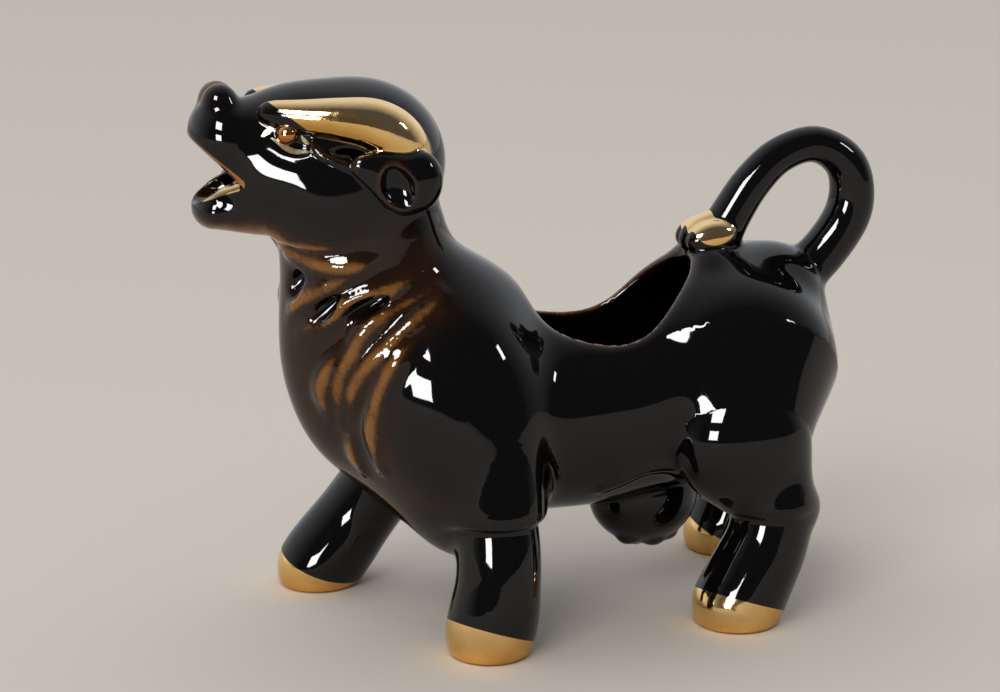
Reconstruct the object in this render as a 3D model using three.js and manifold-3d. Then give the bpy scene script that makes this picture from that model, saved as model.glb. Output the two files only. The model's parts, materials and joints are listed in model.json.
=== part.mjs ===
// A bull creamer in glazed ceramic: filled through the open back, poured through the open mouth and
// held by the tail, which loops up to the rear edge of the opening.
// Millimetres, +Z up. The bull faces -X and its left flank is on -Y.
import * as THREE from "three";
import { mergeVertices } from "three/addons/utils/BufferGeometryUtils.js";
import Module from "manifold-3d";

// Fit
const JOINT_GAP = 0.3; // line left between two pieces that were stuck together
const WALL = 3.6; // wall of the hollow body

// Trunk. Ahead is towards the head, behind towards the tail, side away from the middle plane.
const AXIS_HEIGHT = 52; // middle of the barrel above the ground
const BARREL_LENGTH = 112;
const BARREL_WIDTH = 51;
const BARREL_DEPTH = 52;
const BARREL_TILT = 5; // degrees, tail end up
const CHEST_AHEAD = 41; // from the middle of the barrel
const CHEST_RISE = 8;
const CHEST_LENGTH = 53;
const CHEST_WIDTH = 56;
const CHEST_DEPTH = 67;
const BIB_AHEAD = 16; // from the middle of the chest
const BIB_RISE = 10.5;
const BIB_LENGTH = 40;
const BIB_WIDTH = 30;
const BIB_DEPTH = 64;
const SHOULDER_BEHIND = 5.5; // from the middle of the chest
const SHOULDER_SIDE = 15;
const SHOULDER_DROP = 5;
const SHOULDER_LENGTH = 36;
const SHOULDER_WIDTH = 34;
const SHOULDER_DEPTH = 58;
const WITHERS_BEHIND = 9.5; // from the middle of the chest
const WITHERS_RISE = 13.5;
const WITHERS_LENGTH = 29;
const WITHERS_WIDTH = 24;
const WITHERS_DEPTH = 26;
const RUMP_BEHIND = 33.5; // from the middle of the barrel
const RUMP_RISE = 9.5;
const RUMP_LENGTH = 60;
const RUMP_WIDTH = 52;
const RUMP_DEPTH = 56;
const CROUP_BEHIND = 14.5; // from the middle of the rump
const CROUP_RISE = 16;
const CROUP_LENGTH = 24;
const CROUP_WIDTH = 24;
const CROUP_DEPTH = 22;
const HAUNCH_BEHIND = 1.5; // from the middle of the rump
const HAUNCH_SIDE = 14;
const HAUNCH_DROP = 1;
const HAUNCH_LENGTH = 48.6;
const HAUNCH_WIDTH = 34;
const HAUNCH_DEPTH = 52.6;
const NECK_AHEAD = 12; // from the middle of the chest
const NECK_RISE = 14;
const NECK_LENGTH = 23;
const NECK_LEAN = 4.2; // the top of the neck is this far ahead of its base
const NECK_BASE_DIAMETER = 41;
const NECK_TOP_DIAMETER = 39.8;
const NECK_NARROWING = 0.88; // side to side, against front to back

// Filling opening in the back
const OPENING_BEHIND = 4; // from the middle of the barrel
const OPENING_LENGTH = 41;
const OPENING_WIDTH = 33;

// Head, measured from the middle of the skull unless said otherwise
const HEAD_AHEAD = 1.3; // from the top of the neck
const HEAD_RISE = 18;
const SKULL_LENGTH = 42.6;
const SKULL_WIDTH = 38;
const SKULL_DEPTH = 40;
const BROW_AHEAD = 7.5;
const BROW_DIAMETER = 28.4;
const MUZZLE_AHEAD = 30.1;
const MUZZLE_RISE = 6.6;
const MUZZLE_DIAMETER = 18.8;
const FACE_WIDENING = 1.1; // side to side, against top to bottom
const NOSTRIL_AHEAD = 1.4; // from the middle of the muzzle
const NOSTRIL_SIDE = 4.5;
const NOSTRIL_RISE = 9;
const NOSTRIL_DIAMETER = 9.5;
const CHEEK_AHEAD = 6.5;
const CHEEK_SIDE = 9;
const CHEEK_DROP = 8;
const CHEEK_LENGTH = 28;
const CHEEK_WIDTH = 21;
const CHEEK_DEPTH = 22;
const JAW_DROP = 10;
const JAW_HINGE_AHEAD = 13.5;
const JAW_HINGE_DIAMETER = 12.8;
const JAW_TIP_AHEAD = 34.9;
const JAW_TIP_DIAMETER = 9.8;
const JAW_WIDENING = 1.75; // side to side, against top to bottom
const MOUTH_CORNER_AHEAD = 27;
const MOUTH_CORNER_DROP = 4.2;
const UPPER_LIP_ANGLE = 44; // degrees above level
const LOWER_LIP_ANGLE = 15; // degrees below level
const SPOUT_DIAMETER = 7.4; // pouring channel at the mouth
const THROAT_DIAMETER = 18; // pouring channel where it leaves the neck
const CHANNEL_WIDENING = 1.4; // side to side, against top to bottom

// Horns, ears and eyes, measured from the middle of the skull
const HORN_ROOT = { behind: 13.5, side: 11.5, rise: -1.5, diameter: 12 };
const HORN_BEND = { behind: 9.2, side: 14.3, rise: 6.3, diameter: 12.8 };
const HORN_CROWN = { behind: 1.9, side: 14.8, rise: 10.9, diameter: 11.8 };
const HORN_MIDDLE = { behind: -6.9, side: 14.2, rise: 12.7, diameter: 9 };
const HORN_TAPER = { behind: -15.7, side: 12, rise: 13.4, diameter: 6.4 };
const HORN_TIP = { behind: -23.4, side: 8.8, rise: 14.3, diameter: 3.4 };
const EAR_BEHIND = 9.5;
const EAR_DROP = 3;
const EAR_PROUD = 1.7; // middle of the ear outside the side of the head
const EAR_LENGTH = 18;
const EAR_WIDTH = 12;
const EAR_THICKNESS = 8.4;
const EAR_TILT = 18; // degrees
const EAR_TURN = -20; // degrees, open side to the front
const EAR_HOLLOW_AHEAD = 3; // from the middle of the ear
const EAR_HOLLOW_SIDE = 4.9;
const EAR_HOLLOW_LENGTH = 13.6;
const EAR_HOLLOW_WIDTH = 8.8;
const EAR_HOLLOW_DEPTH = 8;
const EYE_AHEAD = 19.7;
const EYE_RISE = 8.6;
const EYE_PROUD = 0.6; // middle of the eye outside the side of the face
const EYE_DIAMETER = 5.4;

// Legs. Feet are placed from the middle of the barrel.
const FRONT_TRACK = 59; // between the soles of a pair
const FRONT_LEFT_FOOT_AHEAD = 34.2;
const FRONT_RIGHT_FOOT_AHEAD = 63.6;
const FRONT_HIP_AHEAD = 34.5;
const FRONT_HIP_HEIGHT = 52;
const FRONT_HIP_SIDE = 16;
const FRONT_HIP_DIAMETER = 31;
const FRONT_ELBOW_HEIGHT = 37;
const FRONT_ELBOW_DIAMETER = 24.4;
const FRONT_KNEE_HEIGHT = 27;
const FRONT_KNEE_DIAMETER = 22;
const FRONT_SHIN_HEIGHT = 17.5;
const FRONT_SHIN_DIAMETER = 20;
const FRONT_FETLOCK_HEIGHT = 10;
const FRONT_FETLOCK_DIAMETER = 20.9;
const FRONT_HOOF_DIAMETER = 21.2;
const FRONT_LEG_BOW = 3; // backwards at mid height
const HIND_TRACK = 52.6;
const HIND_LEFT_FOOT_BEHIND = 30.3;
const HIND_RIGHT_FOOT_BEHIND = 47.3;
const HIND_LEFT_HIP_BEHIND = 32;
const HIND_RIGHT_HIP_BEHIND = 39;
const HIND_HIP_HEIGHT = 58;
const HIND_HIP_SIDE = 16;
const HIND_HIP_DIAMETER = 34;
const HIND_STIFLE_HEIGHT = 42;
const HIND_STIFLE_DIAMETER = 24;
const HIND_HOCK_HEIGHT = 30.5;
const HIND_HOCK_DIAMETER = 21.8;
const HIND_SHANK_HEIGHT = 22;
const HIND_SHANK_DIAMETER = 21.8;
const HIND_FETLOCK_HEIGHT = 12.5;
const HIND_FETLOCK_DIAMETER = 20.7;
const HIND_HOOF_DIAMETER = 22.2;
const HIND_LEG_BOW = 6.4;
const HOCK_POINT_BEHIND = 7.2; // from the middle line of the leg
const HOCK_POINT_HEIGHT = 27.5;
const HOCK_POINT_DIAMETER = 13.8;
const FULL_SPREAD_AT = 2 / 3; // share of the way down where a leg reaches its track
const SOLE_HEIGHT = 4; // widest part of a hoof above the ground
const HOOF_HEIGHT = 6.5; // line where a hoof meets its leg, at the middle of the leg
const HOOF_SLOPE = 13; // degrees, front edge up
const HOOF_CANT = 12; // degrees, outer edge up
const LEG_JOINT_DROP = 22; // leg joint plane under the middle of the barrel, at the joint's side
const LEG_JOINT_SIDE = 20;
const LEG_JOINT_SLOPE = 33.5; // degrees, outer edge up

// Tail, measured from where it leaves the rump and from where its tip lands behind the opening
const TAIL_ROOT_ANGLE = 40; // degrees up from level, seen from the middle of the rump
const TAIL_ROOT_SINK = 8;
const TAIL_ROOT_DIAMETER = 12;
const TAIL_RISE = { behind: 3.8, rise: 4.3, diameter: 11.2 };
const TAIL_BACK = { behind: 9.6, rise: 14.3, diameter: 11 };
const TAIL_SHOULDER = { behind: 8.2, rise: 24.9, diameter: 9.8 };
const TAIL_CROWN = { behind: -0.3, rise: 30.5, diameter: 8.4 };
const TAIL_FALL = { behind: 16.5, rise: 21.5, diameter: 8.4 };
const TAIL_DROP = { behind: 9.4, rise: 15.2, diameter: 9 };
const TAIL_END = { behind: 4.1, rise: 7.5, diameter: 9.6 };
const TAIL_TIP_DIAMETER = 10.4;
const TAIL_TIP_SETBACK = 8; // tip of the tail behind the opening
const TUFT_LENGTH = 14.8;
const TUFT_WIDTH = 14.4;
const TUFT_DEPTH = 10.4;
const TUFT_TILT = 38; // degrees
const TUFT_RISE = 2.5; // middle of the tuft above the back
const TUFT_JOINT_ALONG = 6.2; // joint with the tail from the middle of the tuft, along the tail

// Tuft of hair under the belly
const BELLY_TUFT_BEHIND = 14.5; // from the middle of the barrel
const BELLY_TUFT_DROP = 1.8; // its middle under the belly
const BELLY_TUFT_LENGTH = 26;
const BELLY_TUFT_WIDTH = 22;
const BELLY_TUFT_DEPTH = 25;

// Softness of the joins between the modelled masses
const TRUNK_BLEND = 14;
const MUSCLE_BLEND = 8.5;
const WITHERS_BLEND = 12;
const LEG_BLEND = 6;
const LIMB_BLEND = 1.5;
const FACE_BLEND = 8.5;
const SMALL_BLEND = 4;
const LIP_ROUNDING = 1.8;

// Facet sizes
const TRUNK_FACET = 6.6;
const LEG_FACET = 4.4;
const HEAD_FACET = 3.2;
const TAIL_FACET = 3.5;
const SMALL_FACET = 2.9;
const EAR_FACET = 2.1;
const EYE_FACET = 1.6;
const LEAST_EDGE = 0.05;
const TINY = 1e-9; // keeps a division away from zero
const CURVE_STEPS = 5; // straight steps between two stations of a limb

const wasm = await Module();
wasm.setup();

const radians = THREE.MathUtils.degToRad;
const at = (ahead, side, height) => new THREE.Vector3(-ahead, side, height);

// A mass is a function of a point that is negative inside and about a distance outside.
function smoothMin(a, b, blend) {
  const h = Math.max(blend - Math.abs(a - b), 0) / blend;
  return Math.min(a, b) - (h * h * h * blend) / 6;
}

function ellipsoid(centre, length, width, depth, tilt = 0, turn = 0) {
  const [rx, ry, rz] = [length / 2, width / 2, depth / 2];
  const [ct, st] = [Math.cos(radians(tilt)), Math.sin(radians(tilt))];
  const [cy, sy] = [Math.cos(radians(turn)), Math.sin(radians(turn))];
  return (x, y, z) => {
    const [dx, dy, dz] = [x - centre.x, y - centre.y, z - centre.z];
    const along = ct * dx + st * dz;
    const u = (cy * along + sy * dy) / rx;
    const v = (-sy * along + cy * dy) / ry;
    const w = (-st * dx + ct * dz) / rz;
    const reach = Math.hypot(u, v, w) + TINY;
    return (reach * (reach - 1)) / (Math.hypot(u / rx, v / ry, w / rz) + TINY);
  };
}

// A limb is a round tube along stations, each a point with a diameter; widen stretches it sideways.
function limb(stations, { widen = 1, blend = LIMB_BLEND } = {}) {
  const parts = stations.slice(1).map((end, i) => {
    const start = stations[i];
    const run = end.point.clone().sub(start.point);
    return { start, run, grow: (end.diameter - start.diameter) / 2, square: run.lengthSq() };
  });
  return (x, y, z) => {
    let least = Infinity;
    for (const { start, run, grow, square } of parts) {
      const [dx, dy, dz] = [x - start.point.x, (y - start.point.y) / widen, z - start.point.z];
      const t = THREE.MathUtils.clamp((dx * run.x + dy * run.y + dz * run.z) / square, 0, 1);
      const off = Math.hypot(dx - t * run.x, dy - t * run.y, dz - t * run.z);
      const d = off - start.diameter / 2 - t * grow;
      least = least === Infinity ? d : smoothMin(least, d, blend);
    }
    return least;
  };
}

// More stations on a smooth curve through the given ones.
function smoothed(stations) {
  const curve = new THREE.CatmullRomCurve3(stations.map((s) => s.point), false, "catmullrom");
  const girth = new THREE.SplineCurve(stations.map((s, i) => new THREE.Vector2(i, s.diameter)));
  const count = (stations.length - 1) * CURVE_STEPS;
  return Array.from({ length: count + 1 }, (_, i) => ({
    point: curve.getPoint(i / count),
    diameter: girth.getPoint(i / count).y,
  }));
}

const joined = (masses) =>
  masses.slice(1).reduce(
    (sum, [mass, blend]) => (x, y, z) => smoothMin(sum(x, y, z), mass(x, y, z), blend),
    masses[0][0],
  );
const carved = (mass, tool, round) => (x, y, z) => -smoothMin(-mass(x, y, z), tool(x, y, z), round);
const mirrored = (mass) => (x, y, z) => mass(x, Math.abs(y), z);
const grown = (mass, by) => (x, y, z) => mass(x, y, z) - by;
const leftOf = (mass) => (x, y, z) => mass(x, -y, z);

// Walks from a point inside a mass along a direction and returns the point on its surface.
function surfaceFrom(mass, start, direction) {
  const NEAR_ENOUGH = 1e-4;
  const step = direction.clone().normalize();
  const value = (t) => mass(start.x + step.x * t, start.y + step.y * t, start.z + step.z * t);
  let far = 1;
  while (value(far) < 0) far += 1;
  let near = far - 1;
  while (far - near > NEAR_ENOUGH) {
    const middle = (near + far) / 2;
    if (value(middle) < 0) near = middle;
    else far = middle;
  }
  return start.clone().addScaledVector(step, near);
}

// Trunk
const barrelCentre = at(0, 0, AXIS_HEIGHT);
const chestCentre = at(CHEST_AHEAD, 0, AXIS_HEIGHT + CHEST_RISE);
const rumpCentre = at(-RUMP_BEHIND, 0, AXIS_HEIGHT + RUMP_RISE);
const beside = (centre, ahead, side, rise) => centre.clone().add(at(ahead, side, rise));

const neckBase = beside(chestCentre, NECK_AHEAD, 0, NECK_RISE);
const neckTop = beside(neckBase, NECK_LEAN, 0, NECK_LENGTH);
const neckWith = (spare) =>
  limb(
    [
      { point: neckBase, diameter: NECK_BASE_DIAMETER - 2 * spare },
      { point: neckTop, diameter: NECK_TOP_DIAMETER - 2 * spare },
    ],
    { widen: NECK_NARROWING },
  );
const barrel = ellipsoid(barrelCentre, BARREL_LENGTH, BARREL_WIDTH, BARREL_DEPTH, BARREL_TILT);
const chest = ellipsoid(chestCentre, CHEST_LENGTH, CHEST_WIDTH, CHEST_DEPTH);
const rump = ellipsoid(rumpCentre, RUMP_LENGTH, RUMP_WIDTH, RUMP_DEPTH);
const bib = ellipsoid(beside(chestCentre, BIB_AHEAD, 0, BIB_RISE), BIB_LENGTH, BIB_WIDTH, BIB_DEPTH);
const shoulders = mirrored(
  ellipsoid(
    beside(chestCentre, -SHOULDER_BEHIND, SHOULDER_SIDE, -SHOULDER_DROP),
    SHOULDER_LENGTH,
    SHOULDER_WIDTH,
    SHOULDER_DEPTH,
  ),
);
const haunches = mirrored(
  ellipsoid(
    beside(rumpCentre, -HAUNCH_BEHIND, HAUNCH_SIDE, -HAUNCH_DROP),
    HAUNCH_LENGTH,
    HAUNCH_WIDTH,
    HAUNCH_DEPTH,
  ),
);
const withers = ellipsoid(
  beside(chestCentre, -WITHERS_BEHIND, 0, WITHERS_RISE),
  WITHERS_LENGTH,
  WITHERS_WIDTH,
  WITHERS_DEPTH,
);
const croup = ellipsoid(
  beside(rumpCentre, -CROUP_BEHIND, 0, CROUP_RISE),
  CROUP_LENGTH,
  CROUP_WIDTH,
  CROUP_DEPTH,
);
const trunk = joined([
  [barrel],
  [chest, TRUNK_BLEND],
  [bib, MUSCLE_BLEND],
  [rump, TRUNK_BLEND],
  [croup, MUSCLE_BLEND],
  [haunches, MUSCLE_BLEND],
  [shoulders, MUSCLE_BLEND],
  [withers, WITHERS_BLEND],
  [neckWith(0), WITHERS_BLEND],
]);
const cavity = joined([
  [grown(barrel, -WALL)],
  [grown(chest, -WALL), TRUNK_BLEND],
  [grown(rump, -WALL), TRUNK_BLEND],
  [neckWith(WALL), TRUNK_BLEND],
]);

// Legs: stations from the hip to the sole, with the foot ahead of or behind the hip and a bow between
function leg({ hip, foot, track, bow, hipSide, joints }) {
  const top = joints[0].height;
  const stations = joints.map(({ height, diameter }) => {
    const t = (top - height) / (top - SOLE_HEIGHT);
    const ahead = THREE.MathUtils.lerp(hip, foot, t) - bow * 4 * t * (1 - t);
    const spread = Math.sin((Math.min(t / FULL_SPREAD_AT, 1) * Math.PI) / 2);
    const side = THREE.MathUtils.lerp(hipSide, track / 2, spread);
    return { point: at(ahead, side, height), diameter };
  });
  return { stations, foot: at(foot, track / 2, 0) };
}
const frontJoints = [
  { height: FRONT_HIP_HEIGHT, diameter: FRONT_HIP_DIAMETER },
  { height: FRONT_ELBOW_HEIGHT, diameter: FRONT_ELBOW_DIAMETER },
  { height: FRONT_KNEE_HEIGHT, diameter: FRONT_KNEE_DIAMETER },
  { height: FRONT_SHIN_HEIGHT, diameter: FRONT_SHIN_DIAMETER },
  { height: FRONT_FETLOCK_HEIGHT, diameter: FRONT_FETLOCK_DIAMETER },
  { height: SOLE_HEIGHT, diameter: FRONT_HOOF_DIAMETER },
];
const hindJoints = [
  { height: HIND_HIP_HEIGHT, diameter: HIND_HIP_DIAMETER },
  { height: HIND_STIFLE_HEIGHT, diameter: HIND_STIFLE_DIAMETER },
  { height: HIND_HOCK_HEIGHT, diameter: HIND_HOCK_DIAMETER },
  { height: HIND_SHANK_HEIGHT, diameter: HIND_SHANK_DIAMETER },
  { height: HIND_FETLOCK_HEIGHT, diameter: HIND_FETLOCK_DIAMETER },
  { height: SOLE_HEIGHT, diameter: HIND_HOOF_DIAMETER },
];
const frontLeg = (foot) =>
  leg({
    hip: FRONT_HIP_AHEAD,
    foot,
    track: FRONT_TRACK,
    bow: FRONT_LEG_BOW,
    hipSide: FRONT_HIP_SIDE,
    joints: frontJoints,
  });
const hindLeg = (hip, foot) =>
  leg({
    hip: -hip,
    foot: -foot,
    track: HIND_TRACK,
    bow: HIND_LEG_BOW,
    hipSide: HIND_HIP_SIDE,
    joints: hindJoints,
  });
function legMass({ stations }, hind) {
  const tube = limb(smoothed(stations));
  if (!hind) return tube;
  const hock = stations[2].point;
  const point = new THREE.Vector3(hock.x + HOCK_POINT_BEHIND, hock.y, HOCK_POINT_HEIGHT);
  const ball = ellipsoid(point, HOCK_POINT_DIAMETER, HOCK_POINT_DIAMETER, HOCK_POINT_DIAMETER);
  return joined([[tube], [ball, SMALL_BLEND]]);
}
const LEFT = -1;
const RIGHT = 1;
const legs = [
  { name: "front_left", side: LEFT, hind: false, ...frontLeg(FRONT_LEFT_FOOT_AHEAD) },
  { name: "front_right", side: RIGHT, hind: false, ...frontLeg(FRONT_RIGHT_FOOT_AHEAD) },
  { name: "rear_left", side: LEFT, hind: true, ...hindLeg(HIND_LEFT_HIP_BEHIND, HIND_LEFT_FOOT_BEHIND) },
  { name: "rear_right", side: RIGHT, hind: true, ...hindLeg(HIND_RIGHT_HIP_BEHIND, HIND_RIGHT_FOOT_BEHIND) },
];
const legMasses = legs.map((l) => {
  const mass = legMass(l, l.hind);
  return [l.side === LEFT ? leftOf(mass) : mass, LEG_BLEND];
});

// Head
const skullCentre = beside(neckTop, HEAD_AHEAD, 0, HEAD_RISE);
const onHead = (ahead, side, rise) => beside(skullCentre, ahead, side, rise);
const muzzleCentre = onHead(MUZZLE_AHEAD, 0, MUZZLE_RISE);
const mouthCorner = onHead(MOUTH_CORNER_AHEAD, 0, -MOUTH_CORNER_DROP);
const jawHinge = onHead(JAW_HINGE_AHEAD, 0, -JAW_DROP);
const jawTip = onHead(JAW_TIP_AHEAD, 0, -JAW_DROP);
const skull = ellipsoid(skullCentre, SKULL_LENGTH, SKULL_WIDTH, SKULL_DEPTH);
const face = limb(
  [
    { point: onHead(BROW_AHEAD, 0, 0), diameter: BROW_DIAMETER },
    { point: muzzleCentre, diameter: MUZZLE_DIAMETER },
  ],
  { widen: FACE_WIDENING },
);
const cheeks = mirrored(
  ellipsoid(onHead(CHEEK_AHEAD, CHEEK_SIDE, -CHEEK_DROP), CHEEK_LENGTH, CHEEK_WIDTH, CHEEK_DEPTH),
);
const nostrils = mirrored(
  ellipsoid(
    beside(muzzleCentre, NOSTRIL_AHEAD, NOSTRIL_SIDE, NOSTRIL_RISE),
    NOSTRIL_DIAMETER,
    NOSTRIL_DIAMETER,
    NOSTRIL_DIAMETER,
  ),
);
const jaw = limb(
  [
    { point: jawHinge, diameter: JAW_HINGE_DIAMETER },
    { point: jawTip, diameter: JAW_TIP_DIAMETER },
  ],
  { widen: JAW_WIDENING },
);
// The open mouth is a wedge from its corner forwards, between the two lips.
function mouthWedge(x, y, z) {
  const ahead = mouthCorner.x - x;
  const rise = z - mouthCorner.z;
  const underUpper = ahead * Math.sin(radians(UPPER_LIP_ANGLE)) - rise * Math.cos(radians(UPPER_LIP_ANGLE));
  const overLower = ahead * Math.sin(radians(LOWER_LIP_ANGLE)) + rise * Math.cos(radians(LOWER_LIP_ANGLE));
  return -smoothMin(underUpper, overLower, LIP_ROUNDING);
}
const head = carved(
  joined([[skull], [face, FACE_BLEND], [cheeks, FACE_BLEND], [nostrils, SMALL_BLEND], [jaw, SMALL_BLEND]]),
  mouthWedge,
  LIP_ROUNDING,
);
const throat = limb(
  [
    { point: beside(jawTip, JAW_TIP_DIAMETER, 0, JAW_TIP_DIAMETER / 2), diameter: SPOUT_DIAMETER },
    { point: mouthCorner, diameter: SPOUT_DIAMETER },
    { point: jawHinge, diameter: (SPOUT_DIAMETER + THROAT_DIAMETER) / 2 },
    { point: neckTop, diameter: THROAT_DIAMETER },
  ],
  { widen: CHANNEL_WIDENING },
);
const figure = joined([[trunk], ...legMasses, [head, SMALL_BLEND]]);

// Solids. Each mass becomes a closed net of quads over the cells that its surface crosses.
const CORNERS = [0, 1, 2, 3, 4, 5, 6, 7].map((i) => [i & 1, (i >> 1) & 1, i >> 2]);
const CELL_EDGES = [0, 1, 2, 3, 4, 5, 6, 7].flatMap((a) =>
  [1, 2, 4].filter((bit) => !(a & bit)).map((bit) => [a, a | bit]),
);

function netOf(mass, box, cell) {
  const size = box.getSize(new THREE.Vector3());
  const [nx, ny, nz] = [size.x, size.y, size.z].map((s) => Math.ceil(s / cell) + 1);
  const place = (i, axis) => box.min.getComponent(axis) + i * cell;
  const index = (i, j, k) => i + nx * (j + ny * k);
  const values = new Float64Array(nx * ny * nz);
  for (let k = 0; k < nz; k += 1)
    for (let j = 0; j < ny; j += 1)
      for (let i = 0; i < nx; i += 1) values[index(i, j, k)] = mass(place(i, 0), place(j, 1), place(k, 2));

  const positions = [];
  const vertexOf = new Map();
  for (let k = 0; k + 1 < nz; k += 1)
    for (let j = 0; j + 1 < ny; j += 1)
      for (let i = 0; i + 1 < nx; i += 1) {
        const corner = CORNERS.map(([a, b, c]) => values[index(i + a, j + b, k + c)]);
        const point = new THREE.Vector3();
        let crossings = 0;
        for (const [a, b] of CELL_EDGES) {
          if (corner[a] < 0 === corner[b] < 0) continue;
          const t = corner[a] / (corner[a] - corner[b]);
          const [from, to] = [new THREE.Vector3(...CORNERS[a]), new THREE.Vector3(...CORNERS[b])];
          point.add(from.lerp(to, t));
          crossings += 1;
        }
        if (!crossings) continue;
        point.divideScalar(crossings).multiplyScalar(cell);
        point.add(new THREE.Vector3(place(i, 0), place(j, 1), place(k, 2)));
        vertexOf.set(index(i, j, k), positions.length / 3);
        positions.push(...settle(mass, point, cell).toArray());
      }

  const triangles = [];
  const strides = [index(1, 0, 0), index(0, 1, 0), index(0, 0, 1)];
  for (let k = 1; k + 1 < nz; k += 1)
    for (let j = 1; j + 1 < ny; j += 1)
      for (let i = 1; i + 1 < nx; i += 1)
        strides.forEach((stride, axis) => {
          const here = index(i, j, k);
          const inside = values[here] < 0;
          if (inside === values[here + stride] < 0) return;
          const [u, v] = [strides[(axis + 1) % 3], strides[(axis + 2) % 3]];
          const ring = [here, here - u, here - u - v, here - v].map((c) => vertexOf.get(c));
          const [a, b, c, d] = inside ? ring : ring.reverse();
          triangles.push(a, b, c, a, c, d);
        });
  return solidFrom(new Float32Array(positions), new Uint32Array(triangles));
}

// Moves a point of the net on to the surface itself.
function settle(mass, point, cell) {
  const SLOPE_STEP = 0.02;
  const LEAST_SLOPE = 0.05;
  const ROUNDS = 3;
  const farthest = cell / 3;
  const start = point.clone();
  for (let round = 0; round < ROUNDS; round += 1) {
    const { x, y, z } = point;
    const slope = new THREE.Vector3(
      mass(x + SLOPE_STEP, y, z) - mass(x - SLOPE_STEP, y, z),
      mass(x, y + SLOPE_STEP, z) - mass(x, y - SLOPE_STEP, z),
      mass(x, y, z + SLOPE_STEP) - mass(x, y, z - SLOPE_STEP),
    ).divideScalar(2 * SLOPE_STEP);
    point.addScaledVector(slope, -mass(x, y, z) / Math.max(slope.lengthSq(), LEAST_SLOPE));
  }
  const moved = point.clone().sub(start);
  return start.add(moved.clampLength(0, farthest));
}

function solidFrom(vertProperties, triVerts) {
  return new wasm.Manifold(new wasm.Mesh({ numProp: 3, vertProperties, triVerts }));
}

function solidOf(geometry) {
  const plain = new THREE.BufferGeometry();
  plain.setAttribute("position", geometry.getAttribute("position"));
  plain.setIndex(geometry.getIndex());
  const welded = mergeVertices(plain);
  const { array } = welded.getAttribute("position");
  return solidFrom(new Float32Array(array), new Uint32Array(welded.index.array));
}

const UP = new THREE.Vector3(0, 0, 1);
const DOWN = new THREE.Vector3(0, 0, -1);
const AHEAD = new THREE.Vector3(-1, 0, 0);
const BEHIND = new THREE.Vector3(1, 0, 0);
const OUT = new THREE.Vector3(0, 1, 0);
const ground = at(0, 0, 0);

// A large block whose face passes through a point. Its material is on the side that the normal points to.
const BLOCK = 600;
function halfSpace(point, normal) {
  const block = new THREE.BoxGeometry(BLOCK, BLOCK, BLOCK);
  const turn = new THREE.Quaternion().setFromUnitVectors(UP, normal.clone().normalize());
  block.translate(0, 0, BLOCK / 2).applyQuaternion(turn).translate(point.x, point.y, point.z);
  return solidOf(block);
}
const along = (point, normal, by) => point.clone().addScaledVector(normal.clone().normalize(), by);
function biggest(solid) {
  return solid.decompose().sort((a, b) => b.volume() - a.volume())[0];
}

// Room that the nets need around the figure
const ROOM = 12;
const reachAhead = -jawTip.x + JAW_TIP_DIAMETER + ROOM;
const reachBehind = RUMP_BEHIND + RUMP_LENGTH / 2 + TAIL_BACK.behind + ROOM;
const reachSide = Math.max(
  (FRONT_TRACK + FRONT_KNEE_DIAMETER) / 2,
  (HIND_TRACK + HIND_HOOF_DIAMETER) / 2,
  SHOULDER_SIDE + SHOULDER_WIDTH / 2,
  HAUNCH_SIDE + HAUNCH_WIDTH / 2,
) + ROOM;
const reachUp = skullCentre.z + SKULL_DEPTH / 2 + ROOM;
const reachDown = -FRONT_HOOF_DIAMETER / 2 - ROOM;
const roomBox = (from, to) =>
  new THREE.Box3(
    new THREE.Vector3(-reachAhead, -reachSide, from),
    new THREE.Vector3(reachBehind, reachSide, to),
  );
const below = (mass, height) => (x, y, z) => Math.max(mass(x, y, z), z - height);
const above = (mass, height) => (x, y, z) => Math.max(mass(x, y, z), height - z);

// Joint between the head and the neck, level under the cheeks
const neckJoint = at(0, 0, skullCentre.z - CHEEK_DROP - CHEEK_DEPTH / 2);
const legJointNormal = (side) => {
  const slope = radians(LEG_JOINT_SLOPE);
  return new THREE.Vector3(0, side * Math.sin(slope), -Math.cos(slope));
};
const legJointPoint = (side) => at(0, side * LEG_JOINT_SIDE, AXIS_HEIGHT - LEG_JOINT_DROP);
const hoofNormal = (side) =>
  new THREE.Vector3(-Math.tan(radians(HOOF_SLOPE)), side * Math.tan(radians(HOOF_CANT)), -1).normalize();

// The quarter of the space that holds one leg
function quarterOf({ side, hind }) {
  const lengthways = halfSpace(ground, hind ? BEHIND : AHEAD);
  return lengthways.intersect(halfSpace(ground, new THREE.Vector3(0, side, 0)));
}
function legSpace(l, gap) {
  const normal = legJointNormal(l.side);
  return quarterOf(l).intersect(halfSpace(along(legJointPoint(l.side), normal, gap), normal));
}

const kneeTop = Math.max(FRONT_HIP_HEIGHT, HIND_HIP_HEIGHT);
const standing = netOf(below(figure, kneeTop), roomBox(reachDown, kneeTop + ROOM), LEG_FACET).intersect(
  halfSpace(ground, UP),
);
const neckRoom = neckJoint.z - NECK_TOP_DIAMETER / 4;
const headBox = roomBox(neckRoom - ROOM, reachUp);
const headBlock = netOf(above(figure, neckRoom), headBox, HEAD_FACET);
const trunkTop = neckJoint.z + ROOM / 2;
const trunkBlock = netOf(below(figure, trunkTop), roomBox(reachDown, trunkTop + ROOM), TRUNK_FACET);
const hollow = netOf(cavity, roomBox(0, reachUp), TRUNK_FACET);
const channel = netOf(throat, roomBox(neckRoom - THROAT_DIAMETER, reachUp), HEAD_FACET);

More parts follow.
